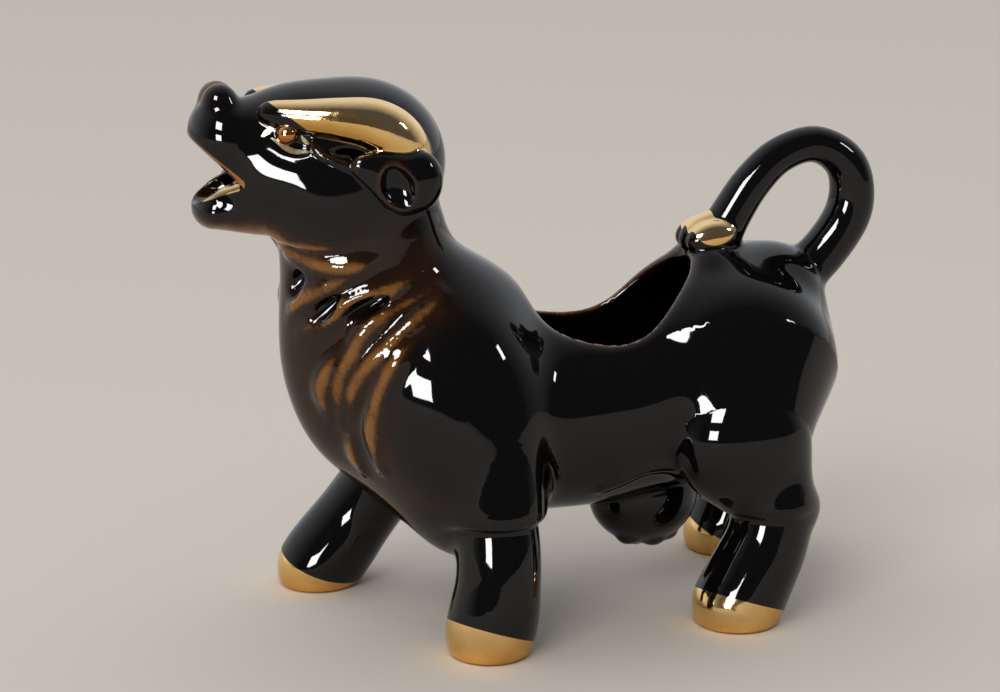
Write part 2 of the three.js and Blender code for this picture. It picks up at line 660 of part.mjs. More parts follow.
// Body with its opening
function openingBlock() {
  const OPENING_SIDES = 48;
  const height = reachUp - AXIS_HEIGHT;
  const tube = new THREE.CylinderGeometry(1, 1, height, OPENING_SIDES).rotateX(Math.PI / 2);
  tube.scale(OPENING_LENGTH / 2, OPENING_WIDTH / 2, 1);
  tube.translate(OPENING_BEHIND, 0, AXIS_HEIGHT + height / 2);
  return solidOf(tube);
}
function bodyShell() {
  let body = trunkBlock.intersect(halfSpace(along(neckJoint, DOWN, JOINT_GAP / 2), DOWN));
  for (const l of legs) body = body.subtract(legSpace(l, -JOINT_GAP));
  return biggest(body.subtract(hollow).subtract(channel).subtract(openingBlock()));
}

// Legs and hooves
function legPieces(l) {
  const whole = standing.intersect(legSpace(l, 0));
  const ankle = at(-l.foot.x, l.side * l.foot.y, HOOF_HEIGHT);
  const normal = hoofNormal(l.side);
  return {
    hoof: biggest(whole.intersect(halfSpace(ankle, normal))),
    shaft: biggest(whole.subtract(halfSpace(along(ankle, normal, -JOINT_GAP), normal))),
  };
}

// Head and lower jaw
const jawJoint = beside(mouthCorner, -JOINT_GAP, 0, 0);
const jawSpace = (gap) =>
  halfSpace(along(jawJoint, AHEAD, gap), AHEAD).intersect(halfSpace(along(mouthCorner, DOWN, gap), DOWN));
const hollowHead = headBlock
  .intersect(halfSpace(along(neckJoint, UP, JOINT_GAP / 2), UP))
  .subtract(hollow)
  .subtract(channel);
const headShell = () => biggest(hollowHead.subtract(jawSpace(-JOINT_GAP)));
const lowerJaw = () => biggest(hollowHead.intersect(jawSpace(0)));

// Pieces stuck on to the skin stop short of it by the joint's gap.
const skinAbove = netOf(grown(above(figure, neckRoom), JOINT_GAP), headBox, HEAD_FACET);
const skinBehind = netOf(grown(below(trunk, trunkTop), JOINT_GAP), roomBox(0, trunkTop + ROOM), TAIL_FACET);
const boxAround = (points, margin) => new THREE.Box3().setFromPoints(points).expandByScalar(margin);

// Horns
const hornStations = [HORN_ROOT, HORN_BEND, HORN_CROWN, HORN_MIDDLE, HORN_TAPER, HORN_TIP].map(
  ({ behind, side, rise, diameter }) => ({ point: onHead(-behind, side, rise), diameter }),
);
const hornMass = limb(smoothed(hornStations));
const hornBox = boxAround(hornStations.map((s) => s.point), HORN_BEND.diameter);
const hornSolid = () => biggest(netOf(hornMass, hornBox, SMALL_FACET).subtract(skinAbove));
const hornSkin = netOf(grown(hornMass, JOINT_GAP), hornBox, SMALL_FACET);

// Ears
function earSolid() {
  const middle = onHead(-EAR_BEHIND, 0, -EAR_DROP);
  const seat = surfaceFrom(head, middle, OUT);
  const centre = beside(seat, 0, EAR_PROUD, 0);
  const leaf = ellipsoid(centre, EAR_WIDTH, EAR_THICKNESS, EAR_LENGTH, EAR_TILT, EAR_TURN);
  const hollowCentre = beside(centre, EAR_HOLLOW_AHEAD, EAR_HOLLOW_SIDE, 0);
  const dish = ellipsoid(
    hollowCentre,
    EAR_HOLLOW_WIDTH,
    EAR_HOLLOW_DEPTH,
    EAR_HOLLOW_LENGTH,
    EAR_TILT,
    EAR_TURN,
  );
  const box = boxAround([centre], EAR_LENGTH);
  const ear = netOf(leaf, box, EAR_FACET).subtract(netOf(dish, box, EAR_FACET));
  return biggest(ear.subtract(skinAbove).subtract(hornSkin));
}

// Eyes
function eyeSolid() {
  const seat = surfaceFrom(head, onHead(EYE_AHEAD, 0, EYE_RISE), OUT);
  const centre = beside(seat, 0, EYE_PROUD, 0);
  const mass = ellipsoid(centre, EYE_DIAMETER, EYE_DIAMETER, EYE_DIAMETER);
  const ball = netOf(mass, boxAround([centre], EYE_DIAMETER), EYE_FACET);
  return biggest(ball.subtract(skinAbove).subtract(hornSkin));
}

// Tail and its tuft
const tailDirection = at(-Math.cos(radians(TAIL_ROOT_ANGLE)), 0, Math.sin(radians(TAIL_ROOT_ANGLE)));
const tailRoot = surfaceFrom(trunk, rumpCentre, tailDirection);
const tipBehind = OPENING_BEHIND + OPENING_LENGTH / 2 + TAIL_TIP_SETBACK;
const tailTip = surfaceFrom(trunk, at(-tipBehind, 0, rumpCentre.z), UP);
const fromRoot = ({ behind, rise, diameter }) => ({ point: beside(tailRoot, -behind, 0, rise), diameter });
const fromTip = ({ behind, rise, diameter }) => ({ point: beside(tailTip, -behind, 0, rise), diameter });
const tailStations = [
  { point: along(tailRoot, tailDirection, -TAIL_ROOT_SINK), diameter: TAIL_ROOT_DIAMETER },
  ...[TAIL_RISE, TAIL_BACK, TAIL_SHOULDER, TAIL_CROWN].map(fromRoot),
  ...[TAIL_FALL, TAIL_DROP, TAIL_END].map(fromTip),
  { point: tailTip, diameter: TAIL_TIP_DIAMETER },
];
const tailMass = limb(smoothed(tailStations));
const tailBox = boxAround(tailStations.map((s) => s.point), TAIL_ROOT_DIAMETER);
const tailSolid = netOf(tailMass, tailBox, TAIL_FACET).subtract(skinBehind);
const tuftCentre = beside(tailTip, 0, 0, TUFT_RISE);
const tuftAxis = tailStations.at(-2).point.clone().sub(tailTip);
const tuftJoint = along(tuftCentre, tuftAxis, TUFT_JOINT_ALONG);
const tuftSpace = (gap) =>
  halfSpace(along(tuftJoint, tuftAxis, gap), tuftAxis.clone().negate()).subtract(
    halfSpace(beside(tailTip, -TUFT_LENGTH, 0, 0), BEHIND),
  );
const tailHandle = () => biggest(tailSolid.subtract(tuftSpace(JOINT_GAP)));
function tailTuft() {
  const mass = joined([
    [ellipsoid(tuftCentre, TUFT_LENGTH, TUFT_WIDTH, TUFT_DEPTH, TUFT_TILT)],
    [limb(smoothed(tailStations.slice(-3))), LIP_ROUNDING],
  ]);
  const box = boxAround(tailStations.slice(-3).map((s) => s.point), TUFT_LENGTH);
  return biggest(netOf(mass, box, SMALL_FACET).intersect(tuftSpace(0)).subtract(skinBehind));
}

// Tuft of hair under the belly
function bellyTuft() {
  const start = at(-BELLY_TUFT_BEHIND, 0, AXIS_HEIGHT);
  const centre = beside(surfaceFrom(trunk, start, DOWN), 0, 0, -BELLY_TUFT_DROP);
  const mass = ellipsoid(centre, BELLY_TUFT_LENGTH, BELLY_TUFT_WIDTH, BELLY_TUFT_DEPTH);
  const net = netOf(mass, boxAround([centre], BELLY_TUFT_LENGTH), HEAD_FACET);
  return biggest(net.subtract(skinBehind));
}

// Scene
const blackGlaze = new THREE.MeshStandardMaterial({ color: 0x0d0908, roughness: 0.06, metalness: 0 });
const goldLustre = new THREE.MeshStandardMaterial({ color: 0xc98f35, roughness: 0.15, metalness: 1 });
const copperLustre = new THREE.MeshStandardMaterial({ color: 0xa8622a, roughness: 0.15, metalness: 1 });

const root = new THREE.Group();
const bull = new THREE.Group();
root.add(bull);

// Cuts leave hair-thin triangles. Each edge shorter than the least one shrinks to a point, where that
// keeps the surface closed.
function withoutShortEdges(points, faces, least) {
  const around = points.map(() => new Set());
  faces.forEach((face, f) => face.forEach((v) => around[v].add(f)));
  const neighbours = (v) => new Set([...around[v]].flatMap((f) => faces[f]).filter((w) => w !== v));
  function shrink(keep, gone) {
    const shared = [...neighbours(keep)].filter((w) => neighbours(gone).has(w));
    if (shared.length !== 2) return;
    for (const f of around[gone]) {
      if (faces[f].includes(keep)) {
        faces[f].forEach((v) => v !== gone && around[v].delete(f));
        faces[f] = [];
      } else {
        faces[f] = faces[f].map((v) => (v === gone ? keep : v));
        around[keep].add(f);
      }
    }
    around[gone].clear();
  }
  for (let f = 0; f < faces.length; f += 1)
    for (let side = 0; side < 3 && faces[f].length; side += 1) {
      const [keep, gone] = [faces[f][side], faces[f][(side + 1) % 3]];
      if (points[keep].distanceTo(points[gone]) < least) shrink(keep, gone);
    }
  return faces.filter((face) => face.length);
}

function place(name, solid, material, side = RIGHT) {
  const { vertProperties, triVerts, numProp } = solid.getMesh();
  const rows = Array.from({ length: triVerts.length / 3 }, (_, i) => [
    ...triVerts.subarray(3 * i, 3 * i + 3),
  ]);
  const points = Array.from({ length: vertProperties.length / numProp }, (_, i) =>
    new THREE.Vector3().fromArray(vertProperties, i * numProp),
  );
  const faces = withoutShortEdges(points, rows, LEAST_EDGE);
  const geometry = new THREE.BufferGeometry().setFromPoints(points);
  geometry.setIndex(faces.flat());
  const mesh = new THREE.Mesh(geometry, material);
  mesh.name = name;
  mesh.scale.y = side;
  bull.add(mesh);
}

place("body_shell", bodyShell(), blackGlaze);
place("head_shell", headShell(), blackGlaze);
place("lower_jaw", lowerJaw(), blackGlaze);
for (const [word, side] of [["left", LEFT], ["right", RIGHT]]) {
  place(`${word}_horn`, hornSolid(), goldLustre, side);
  place(`${word}_ear`, earSolid(), blackGlaze, side);
  place(`${word}_eye`, eyeSolid(), copperLustre, side);
}
for (const l of legs) {
  const { hoof, shaft } = legPieces(l);
  place(`${l.name}_leg`, shaft, blackGlaze);
  place(`${l.name}_hoof`, hoof, goldLustre);
}
place("tail_handle", tailHandle(), blackGlaze);
place("tail_tuft", tailTuft(), goldLustre);
place("belly_tuft", bellyTuft(), blackGlaze);

// The origin is on the ground under the middle of the whole figure.
const extent = new THREE.Box3().setFromObject(bull);
const middle = extent.getCenter(new THREE.Vector3());
bull.position.set(-middle.x, -middle.y, -extent.min.z);

export default root;
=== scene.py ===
"""Looks of a bull creamer: one skin of dark glaze with gold and copper lustre, cut into the frame's pieces.

The figure is sculpted in millimetres as a sum of smooth masses, with the barrel's middle plane at x = 0 and
y = 0, and its pieces are then set in the frame, in metres.
"""

import json
import math

import bmesh
import bpy
import numpy as np
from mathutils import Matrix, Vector


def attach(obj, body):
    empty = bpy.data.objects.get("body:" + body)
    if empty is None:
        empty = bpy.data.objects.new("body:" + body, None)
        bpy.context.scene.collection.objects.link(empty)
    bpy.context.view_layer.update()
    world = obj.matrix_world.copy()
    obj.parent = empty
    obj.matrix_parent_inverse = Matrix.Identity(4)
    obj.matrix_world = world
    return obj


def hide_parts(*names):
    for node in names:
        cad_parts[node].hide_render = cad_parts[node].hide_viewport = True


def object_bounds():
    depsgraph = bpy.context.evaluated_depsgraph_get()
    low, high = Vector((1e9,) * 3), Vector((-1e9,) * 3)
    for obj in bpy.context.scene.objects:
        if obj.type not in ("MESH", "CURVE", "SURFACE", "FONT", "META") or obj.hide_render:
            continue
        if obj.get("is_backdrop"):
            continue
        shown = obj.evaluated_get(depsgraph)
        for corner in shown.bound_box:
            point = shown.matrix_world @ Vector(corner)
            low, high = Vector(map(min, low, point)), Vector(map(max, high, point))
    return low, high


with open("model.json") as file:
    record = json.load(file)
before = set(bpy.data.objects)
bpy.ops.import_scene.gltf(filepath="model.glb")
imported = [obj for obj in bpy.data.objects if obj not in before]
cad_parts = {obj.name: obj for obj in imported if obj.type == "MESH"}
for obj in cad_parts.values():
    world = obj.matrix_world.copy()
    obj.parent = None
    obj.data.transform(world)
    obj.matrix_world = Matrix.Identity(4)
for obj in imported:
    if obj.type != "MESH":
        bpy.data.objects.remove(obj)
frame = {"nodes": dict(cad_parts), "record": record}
cad_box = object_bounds()

MM = 0.001

# Trunk. A place is how far a mass lies ahead of, beside and over the one that it belongs to.
# Ahead is towards the head, behind towards the tail, side away from the middle plane.
WALL = 3.6
AXIS_HEIGHT = 52.0
BARREL_SIZE = (112, 51, 52)
BARREL_TILT = 5
CHEST_PLACE = (41, 0, 8)
CHEST_SIZE = (53, 56, 67)
BIB_PLACE = (16, 0, 10.5)
BIB_SIZE = (40, 30, 64)
SHOULDER_PLACE = (-5.5, 15.5, -11)
SHOULDER_SIZE = (36, 33, 58)
WITHERS_PLACE = (-9.5, 0, 13.5)
WITHERS_SIZE = (29, 24, 26)
RUMP_PLACE = (-33.5, 0, 9.5)
RUMP_SIZE = (60, 52, 56)
CROUP_PLACE = (-14.5, 0, 16)
CROUP_SIZE = (24, 24, 22)
HAUNCH_PLACE = (-1.5, 13.5, -2)
HAUNCH_DIAMETER = 48.6
NECK_PLACE = (12, 0, 14)
NECK_RUN = (4.2, 0, 23)
NECK_DIAMETERS = (41, 39.8)
NECK_NARROWING = 0.88
RIM_LIP_PLACE = (-29, 0, 32)
RIM_LIP_SIZE = (14, 22, 15)
RIM_LIP_BLEND = 5
OPENING_BEHIND = 4
OPENING_SIZE = (41, 33)

# Head. Its place is from the top of the neck, the others are from the middle of the skull. The nostrils
# and the nose go by the muzzle, and the jowls by the corner of the mouth.
HEAD_PLACE = (1.3, 0, 18)
SKULL_SIZE = (42.6, 38, 40)
BROW_AHEAD = 7.5
BROW_DIAMETER = 28.4
MUZZLE_PLACE = (29.8, 0, 6.6)
MUZZLE_DIAMETER = 18.8
FACE_WIDENING = 1.1
NOSTRIL_PLACE = (2.6, 2.3, 9.5)
NOSTRIL_DIAMETER = 8.2
NOSE_PLACE = (2, 0, 2.4)
NOSE_SIZE = (14.6, 18, 17)
POLL_PLACE = (12, 0, 9)
POLL_SIZE = (34, 24, 21)
CHEEK_PLACE = (6.5, 9, -8)
CHEEK_SIZE = (28, 21, 22)
JAW_HINGE_PLACE = (13.5, 0, -10)
JAW_HINGE_DIAMETER = 12.8
JAW_TIP_PLACE = (34.5, 0, -9.3)
JAW_TIP_DIAMETER = 9.4
JAW_WIDENING = 1.75
SCOOP_PLACE = (34.5, 0, -4.6)
SCOOP_SIZE = (13, 10, 6.4)
MOUTH_CORNER_PLACE = (29.6, 0, -1.95)
JOWL_PLACE = (-8.5, 6.1, -0.65)
JOWL_SIZE = (38, 16, 24)
JOWL_TURN = 29
JOWL_BLEND = 5
UPPER_LIP_ANGLE = 44
LOWER_LIP_ANGLE = 22
SPOUT_DIAMETER = 7.4
THROAT_DIAMETER = 18
CHANNEL_WIDENING = 1.4

# Horns, ears and eyes, from the middle of the skull, and parts of an ear or eye from its own middle.
# A station is a place, then a diameter.
HORN_STATIONS = (
    ((-9.5, 11.5, 0), 12),
    ((-6.6, 14.2, 6.9), 12.4),
    ((-1, 14.8, 11), 11.6),
    ((6.9, 14.2, 12.7), 9.2),
    ((15.7, 11.8, 13.4), 7),
    ((22.4, 9.2, 14.2), 4.8),
)
EAR_PLACE = (-5.4, 0, -2)
EAR_PROUD = 1.2
EAR_LEAF = (
    ((8.5, 0, 4.6), 4.5),
    ((4, 0, 3), 8.5),
    ((-0.6, 0, 0.4), 12),
    ((-1.6, 0, -2.6), 8.4),
    ((-2.2, 0, -5.2), 3.5),
)
EAR_FLATNESS = 0.62
EAR_BACK_PLACE = (-5.2, -0.4, 0.4)
EAR_BACK_SIZE = (11, 8, 14)
EAR_HOLLOW = (((2.2, 4, 3.4), 3.6), ((0.9, 4, -0.4), 7.2), ((-0.9, 4, -4.6), 3))
EAR_HOLLOW_FLATNESS = 0.9
EYE_PLACE = (18.8, 0, 9.6)
EYE_PROUD = 0.2
EYE_DIAMETER = 5
SOCKET_PLACE = (0, 2.2, -1.2)
SOCKET_SIZE = (11, 4.6, 5.6)
SOCKET_TILT = -23
TEMPLE_PLACE = (7.5, 0, 4.6)
TEMPLE_SIZE = (13, 3.4, 4.6)
TEMPLE_TILT = -10

# Legs: height, diameter and shift ahead of stations down the thick upper part, which ends in a cuff,
# and down the lower part
FRONT_TRACK = 59
FRONT_LEFT_FOOT_AHEAD = 34.2
FRONT_RIGHT_FOOT_AHEAD = 63.6
FRONT_HIP = (34.5, 16)
FRONT_UPPER = ((52, 31, 0), (40, 26.5, 0), (32, 24.4, 0))
FRONT_CUFF = 32
FRONT_LOWER = ((40, 19.4, 0), (30, 19, 0), (23, 19.2, 0), (16.5, 19.4, 0), (10, 20.6, 0), (4, 20.8, 0))
FRONT_LEG_BOW = 3
HIND_TRACK = 52.6
HIND_LEFT_FOOT_BEHIND = 30.3
HIND_RIGHT_FOOT_BEHIND = 47.3
HIND_LEFT_HIP = (-32, 16)
HIND_RIGHT_HIP = (-39, 16)
HIND_UPPER = ((58, 25, 0), (42, 21, 0), (28, 22.5, -1.5))
HIND_CUFF = 28
HIND_LOWER = ((38, 19, -2), (28, 19, -2.2), (20, 19.4, -1.8), (12.5, 20.6, -0.4), (4, 22, 0.3))
HIND_LEG_BOW = 6.4
THIGH_HEIGHT = 45
THIGH_PLACE = (4.2, 7, 0)
THIGH_DIAMETER = 34
# Sideways the quarter is narrowed from the haunch out, and the thigh's place is the one before that.
QUARTER_NARROWING = 0.7
CUFF_ROUNDING = 4
CUFF_BLEND = 2
HOCK_HEIGHT = 30.5
HOCK_POINT_PLACE = (-7.2, 0, -3)
HOCK_POINT_DIAMETER = 13.8
FULL_SPREAD_AT = 0.85
HOOF_HEIGHT = 5.8
HOOF_SLOPE = 19
HOOF_CANT = 12
LEG_JOINT_DROP = 22
LEG_JOINT_SIDE = 20
LEG_JOINT_SLOPE = 33.5

# Tail: places from where it leaves the rump and from where its tip lands, then diameters
TAIL_ROOT_ANGLE = 40
TAIL_ROOT_SINK = 8
TAIL_ROOT_DIAMETER = 12
TAIL_FROM_ROOT = (
    ((-3.8, 0, 4.3), 11.2),
    ((-9.6, 0, 14.3), 11),
    ((-8.2, 0, 24.9), 9.8),
    ((0.3, 0, 30.5), 8.4),
)
TAIL_FROM_TIP = (
    ((-16.5, 0, 21.5), 8.4),
    ((-9.4, 0, 15.2), 9),
    ((-4.1, 0, 7.5), 9.6),
    ((0, 0, 0), 10.4),
)
TAIL_TIP_SETBACK = 8
TUFT_SIZE = (14.6, 8, 9.4)
TUFT_PLACE = (2.6, 0, 3.2)
TUFT_TILT = 24
TUFT_LOCK_SIZE = (13.4, 7, 8.6)
TUFT_LOCK_PLACE = (2.4, 4, 2.4)
TUFT_LOCK_TILT = 12
TUFT_GOLD_SIZE = (12.6, 22, 8.6)
TUFT_GOLD_PLACE = (2, 0, 4.6)
TUFT_GOLD_TILT = 15
BELLY_TUFT_BEHIND = 14.5
BELLY_TUFT_DROP = 1.8
BELLY_TUFT_SIZE = (28, 22, 25)

# Softness of the joins
TRUNK_BLEND = 14
MUSCLE_BLEND = 8.5
HAUNCH_BLEND = 6
SHOULDER_BLEND = 16
WITHERS_BLEND = 12
LEG_BLEND = 6
LIMB_BLEND = 1.5
FINE_BLEND = 0.2
FACE_BLEND = 8.5
SMALL_BLEND = 4
LIP_ROUNDING = 1.8
TAIL_BLEND = 3
TUFT_BLEND = 1.5
HORN_BLEND = 1.2
EYE_BLEND = 0.5
DISH_BLEND = 1.5
POLL_BLEND = 6
NOSTRIL_BLEND = 2.6
SHELL_ROUNDING = 1.0
HOLLOW_ROUNDING = 2.5
EAR_BLEND = 3
EAR_ROUNDING = 1.2
RIM_ROUNDING = 5.5
SOLE_ROUNDING = 1.0

# Folds of skin on the neck and chest, seen from the side: ahead of the barrel's middle, and height
FOLDS = (
    ((82, 103), (78, 100.6), (73, 99.2), (65, 98)),
    ((81, 102.5), (76, 96.5), (69, 93.5), (63, 93.5), (59, 95)),
    ((76.5, 79.5), (74.5, 84), (69, 88.5), (63, 91.5)),
    ((74.5, 76.5), (70, 81), (63.5, 85), (56.5, 87.5), (47.5, 90.5)),
    ((43.5, 87.5), (59, 80), (63.5, 73.5), (66.5, 65.5), (66, 54.5)),
    ((42, 86), (49, 81.2), (56.4, 74.8), (60.7, 70), (63.5, 64.2), (64.2, 57)),
    ((50.2, 76.3), (54, 72.4), (56.8, 67.8), (59.3, 60), (59.7, 53.5), (58.4, 46)),
    ((66.2, 74), (69, 68.4), (70, 62.3), (68.7, 56.3)),
)
FOLD_DIAMETER = 5.4
FOLD_END_DIAMETER = 1.2
FOLD_SINK = 1.2
FOLD_BLEND = 3.2
CREST_WIDTH = 3.4
CREST_END_WIDTH = CREST_WIDTH / 6
CREST_RISE = 1.4
FINE_FOLDS = (
    ((64, 52), (63, 47), (60.6, 42.6)),
    ((59.2, 50), (57.6, 44.5)),
)
FLANK_FOLD = ((3, 34.5), (-1, 37), (-7, 39.8), (-13, 39.8), (-17, 38))
FINE_FOLD_DIAMETER = 3
FINE_FOLD_SINK = 0.5
# A lock of hair behind the eye, in the same way
LOCK = ((72, 123), (71, 120.8), (68, 119), (64.3, 117.5), (62, 116))
LOCK_DIAMETER = 2.2
LOCK_SINK = 0.4
# Dark pits between the folds: place, length, height and slope
PITS = (
    ((75.2, 87.8), 9, 4.5, 50),
    ((69.3, 83), 14, 3.8, 40),
    ((60.6, 84), 12, 4.2, 27),
)
PIT_DEPTH = 2.2
PIT_BLEND = 2.6
# Ends of hair under the belly tuft: behind the tuft's middle, to the side, and length
HAIR_ENDS = ((-5, -3.5, 1.8), (-1.5, 1, 2.4), (1.5, -4, 2), (5.5, -2.5, 1.7), (4, 3.5, 1.9))
HAIR_END_SIZE = (5.4, 4.2)
HAIR_BLEND = 2.4
# Lids in pale gold: ahead of the middle of the skull, and over it, then width
LIDS = (
    (((24.4, 9), 0.5), ((22.9, 10.2), 1.3), ((21.4, 11.4), 0.6)),
    (
        ((22.4, 8.8), 0.3),
        ((20.7, 7.6), 0.9),
        ((18.8, 6.2), 1.5),
        ((17, 5.5), 1.5),
        ((15, 5.5), 0.9),
        ((13.6, 5.7), 0.3),
    ),
    (((15.7, 9.4), 0.4), ((14.8, 7.9), 1.0), ((13.7, 5.7), 0.4)),
)
UPPER_LIP_LINE_WIDTH = 1.1
LOWER_LIP_LINE_WIDTH = 1.4
LIP_LINE_LENGTH = 14
LIP_LINE_INSET = 0.9

# Sizes of the net's cells
TRUNK_CELL = 0.9
LEG_CELL = 0.8
TAIL_CELL = 0.7
HEAD_CELL = 0.5

FAR = 60.0
REACH = 16.0
TINY = 1e-9
LEFT, RIGHT = -1, 1


# Masses: functions of three arrays of coordinates, negative inside and about a distance outside
def at(ahead, side, height):
    return np.array([-ahead, side, height], float)


def beside(base, place):
    return base + at(*place)


def smooth_min(a, b, blend):
    h = np.maximum(blend - np.abs(a - b), 0.0) / blend
    return np.minimum(a, b) - h * h * h * blend / 6


def smooth_max(a, b, blend):
    return -smooth_min(-a, -b, blend)


def near_only(mass, low, high):
    """The mass near its own box, and far away elsewhere."""
    low = np.subtract(low, REACH)
    high = np.add(high, REACH)

    def limited(p):
        near = np.ones(p[0].shape, bool)
        for c, a, b in zip(p, low, high):
            near &= (c > a) & (c < b)
        values = np.full(p[0].shape, FAR)
        if near.any():
            values[near] = mass([c[near] for c in p])
        return values

    return limited


def ellipsoid(centre, size, tilt=0, turn=0):
    rx, ry, rz = (s / 2 for s in size)
    ct, st = math.cos(math.radians(tilt)), math.sin(math.radians(tilt))
    cy, sy = math.cos(math.radians(turn)), math.sin(math.radians(turn))

    def mass(p):
        dx, dy, dz = (c - m for c, m in zip(p, centre))
        along = ct * dx + st * dz
        u = (cy * along + sy * dy) / rx
        v = (-sy * along + cy * dy) / ry
        w = (-st * dx + ct * dz) / rz
        reach = np.sqrt(u * u + v * v + w * w) + TINY
        slope = np.sqrt((u / rx) ** 2 + (v / ry) ** 2 + (w / rz) ** 2) + TINY
        return reach * (reach - 1) / slope

    half = max(rx, ry, rz) if tilt or turn else np.array([rx, ry, rz])
    return near_only(mass, centre - half, centre + half)


def ball(centre, diameter):
    return ellipsoid(centre, (diameter,) * 3)


def limb(stations, widen=1.0, blend=LIMB_BLEND):
    """A round tube along stations, each a point with a diameter.

    Each stretch of it is widened sideways about its first station.
    """

    def mass(p):
        least = None
        for (start, wide), (end, narrow) in zip(stations, stations[1:]):
            run = end - start
            d = [c - s for c, s in zip(p, start)]
            d[1] = d[1] / widen
            t = np.clip((d[0] * run[0] + d[1] * run[1] + d[2] * run[2]) / (run @ run), 0, 1)
            off = np.sqrt(sum((c - t * r) ** 2 for c, r in zip(d, run)))
            here = off - wide / 2 - t * (narrow - wide) / 2
            least = here if least is None else smooth_min(least, here, blend)
        return least

    points = np.array([s for s, _ in stations])
    half = max(d for _, d in stations) / 2 * max(widen, 1)
    return near_only(mass, points.min(0) - half, points.max(0) + half)


def smoothed(stations, steps=5):
    """More stations on a smooth curve through the given ones."""
    rows = np.array([[*s, d] for s, d in stations], float)
    rows = np.vstack([2 * rows[0] - rows[1], rows, 2 * rows[-1] - rows[-2]])
    made = []
    for a, b, c, d in zip(rows, rows[1:], rows[2:], rows[3:]):
        for t in np.arange(steps) / steps:
            cubic = (3 * b - a - 3 * c + d) * t + 2 * a - 5 * b + 4 * c - d
            made.append(b + ((c - a) + cubic * t) * t / 2)
    made.append(rows[-2])
    return [(row[:3], row[3]) for row in made]


def joined(first, others):
    """A mass with others blended on to it, each given with the softness of its join."""

    def mass(p):
        total = first(p)
        for other, blend in others:
            total = smooth_min(total, other(p), blend)
        return total

    return mass


def mirrored(mass):
    return lambda p: mass([p[0], np.abs(p[1]), p[2]])


def value_at(mass, point):
    return float(mass([np.array([c]) for c in point])[0])


def slope_at(mass, p, step=0.05):
    """Unit vectors along which the mass grows fastest."""
    rows = []
    for axis in range(3):
        ahead = [c + step * (k == axis) for k, c in enumerate(p)]
        behind = [c - step * (k == axis) for k, c in enumerate(p)]
        rows.append((mass(ahead) - mass(behind)) / (2 * step))
    return np.array(rows)


def surface_from(mass, start, direction, step=0.5, rounds=14):
    """The first point on the surface of a mass from a point inside it."""
    direction = np.asarray(direction, float) / np.linalg.norm(direction)
    far = step
    while value_at(mass, start + far * direction) < 0:
        far += step
    near = far - step
    for _ in range(rounds):
        middle = (near + far) / 2
        if value_at(mass, start + middle * direction) < 0:
            near = middle
        else:
            far = middle
    return start + near * direction


# Trunk
barrel_centre = at(0, 0, AXIS_HEIGHT)
chest_centre = beside(barrel_centre, CHEST_PLACE)
rump_centre = beside(barrel_centre, RUMP_PLACE)
neck_base = beside(chest_centre, NECK_PLACE)
neck_top = beside(neck_base, NECK_RUN)
OUT = at(0, 1, 0)
UP = at(0, 0, 1)

barrel = ellipsoid(barrel_centre, BARREL_SIZE, BARREL_TILT)
chest = ellipsoid(chest_centre, CHEST_SIZE)
rump = ellipsoid(rump_centre, RUMP_SIZE)
neck = limb([(neck_base, NECK_DIAMETERS[0]), (neck_top, NECK_DIAMETERS[1])], NECK_NARROWING)
muscles = (
    (chest, TRUNK_BLEND),
    (ellipsoid(beside(chest_centre, BIB_PLACE), BIB_SIZE), MUSCLE_BLEND),
    (rump, TRUNK_BLEND),
    (ellipsoid(beside(rump_centre, CROUP_PLACE), CROUP_SIZE), MUSCLE_BLEND),
    (mirrored(ellipsoid(beside(chest_centre, SHOULDER_PLACE), SHOULDER_SIZE)), SHOULDER_BLEND),
    (ellipsoid(beside(chest_centre, WITHERS_PLACE), WITHERS_SIZE), WITHERS_BLEND),
    (neck, WITHERS_BLEND),
)
trunk = joined(barrel, muscles)
core = joined(barrel, [(mass, TRUNK_BLEND) for mass in (chest, rump, neck)])


def hollow(p):
    return core(p) + WALL


def opening(p):
    """The oval cut in the back, as a tall shaft over the barrel's middle."""
    reach = np.hypot((p[0] - OPENING_BEHIND) / OPENING_SIZE[0], p[1] / OPENING_SIZE[1]) * 2
    shaft = (reach - 1) * min(OPENING_SIZE) / 2
    return np.maximum(shaft, AXIS_HEIGHT - p[2])


# Legs
def leg_of(name, side, hip, foot, track, bow, upper, cuff, lower, hind):
    top, sole = upper[0][0], lower[-1][0]
    to_side = np.array([1, side, 1])

    def axis_at(height):
        t = (top - height) / (top - sole)
        spread = math.sin(min(t / FULL_SPREAD_AT, 1) * math.pi / 2)
        ahead = hip[0] + (foot - hip[0]) * t - bow * 4 * t * (1 - t)
        out = hip[1] + (track / 2 - hip[1]) * spread
        return at(ahead, side * out, height)

    def stations_of(rows):
        return [(beside(axis_at(height), (shift, 0, 0)), diameter) for height, diameter, shift in rows]

    upper_stations = stations_of(upper)
    lower_stations = stations_of(lower)
    thick = limb(smoothed(upper_stations))
    thin = limb(smoothed(lower_stations))
    hock_point = ball(beside(axis_at(HOCK_HEIGHT), HOCK_POINT_PLACE), HOCK_POINT_DIAMETER)
    haunch_centre = beside(rump_centre, HAUNCH_PLACE * to_side)
    thigh_end = beside(axis_at(THIGH_HEIGHT), THIGH_PLACE * to_side)
    quarter = limb([(haunch_centre, HAUNCH_DIAMETER), (thigh_end, THIGH_DIAMETER)], QUARTER_NARROWING)

    def mass(p):
        cuffed = smooth_max(thick(p), cuff - p[2], CUFF_ROUNDING)
        total = smooth_min(cuffed, thin(p), CUFF_BLEND)
        return smooth_min(total, hock_point(p), SMALL_BLEND) if hind else total

    return {
        "name": name,
        "side": side,
        "hind": hind,
        "foot": at(foot, side * track / 2, 0),
        "stations": upper_stations + lower_stations,
        "mass": mass,
        "quarter": quarter,
    }


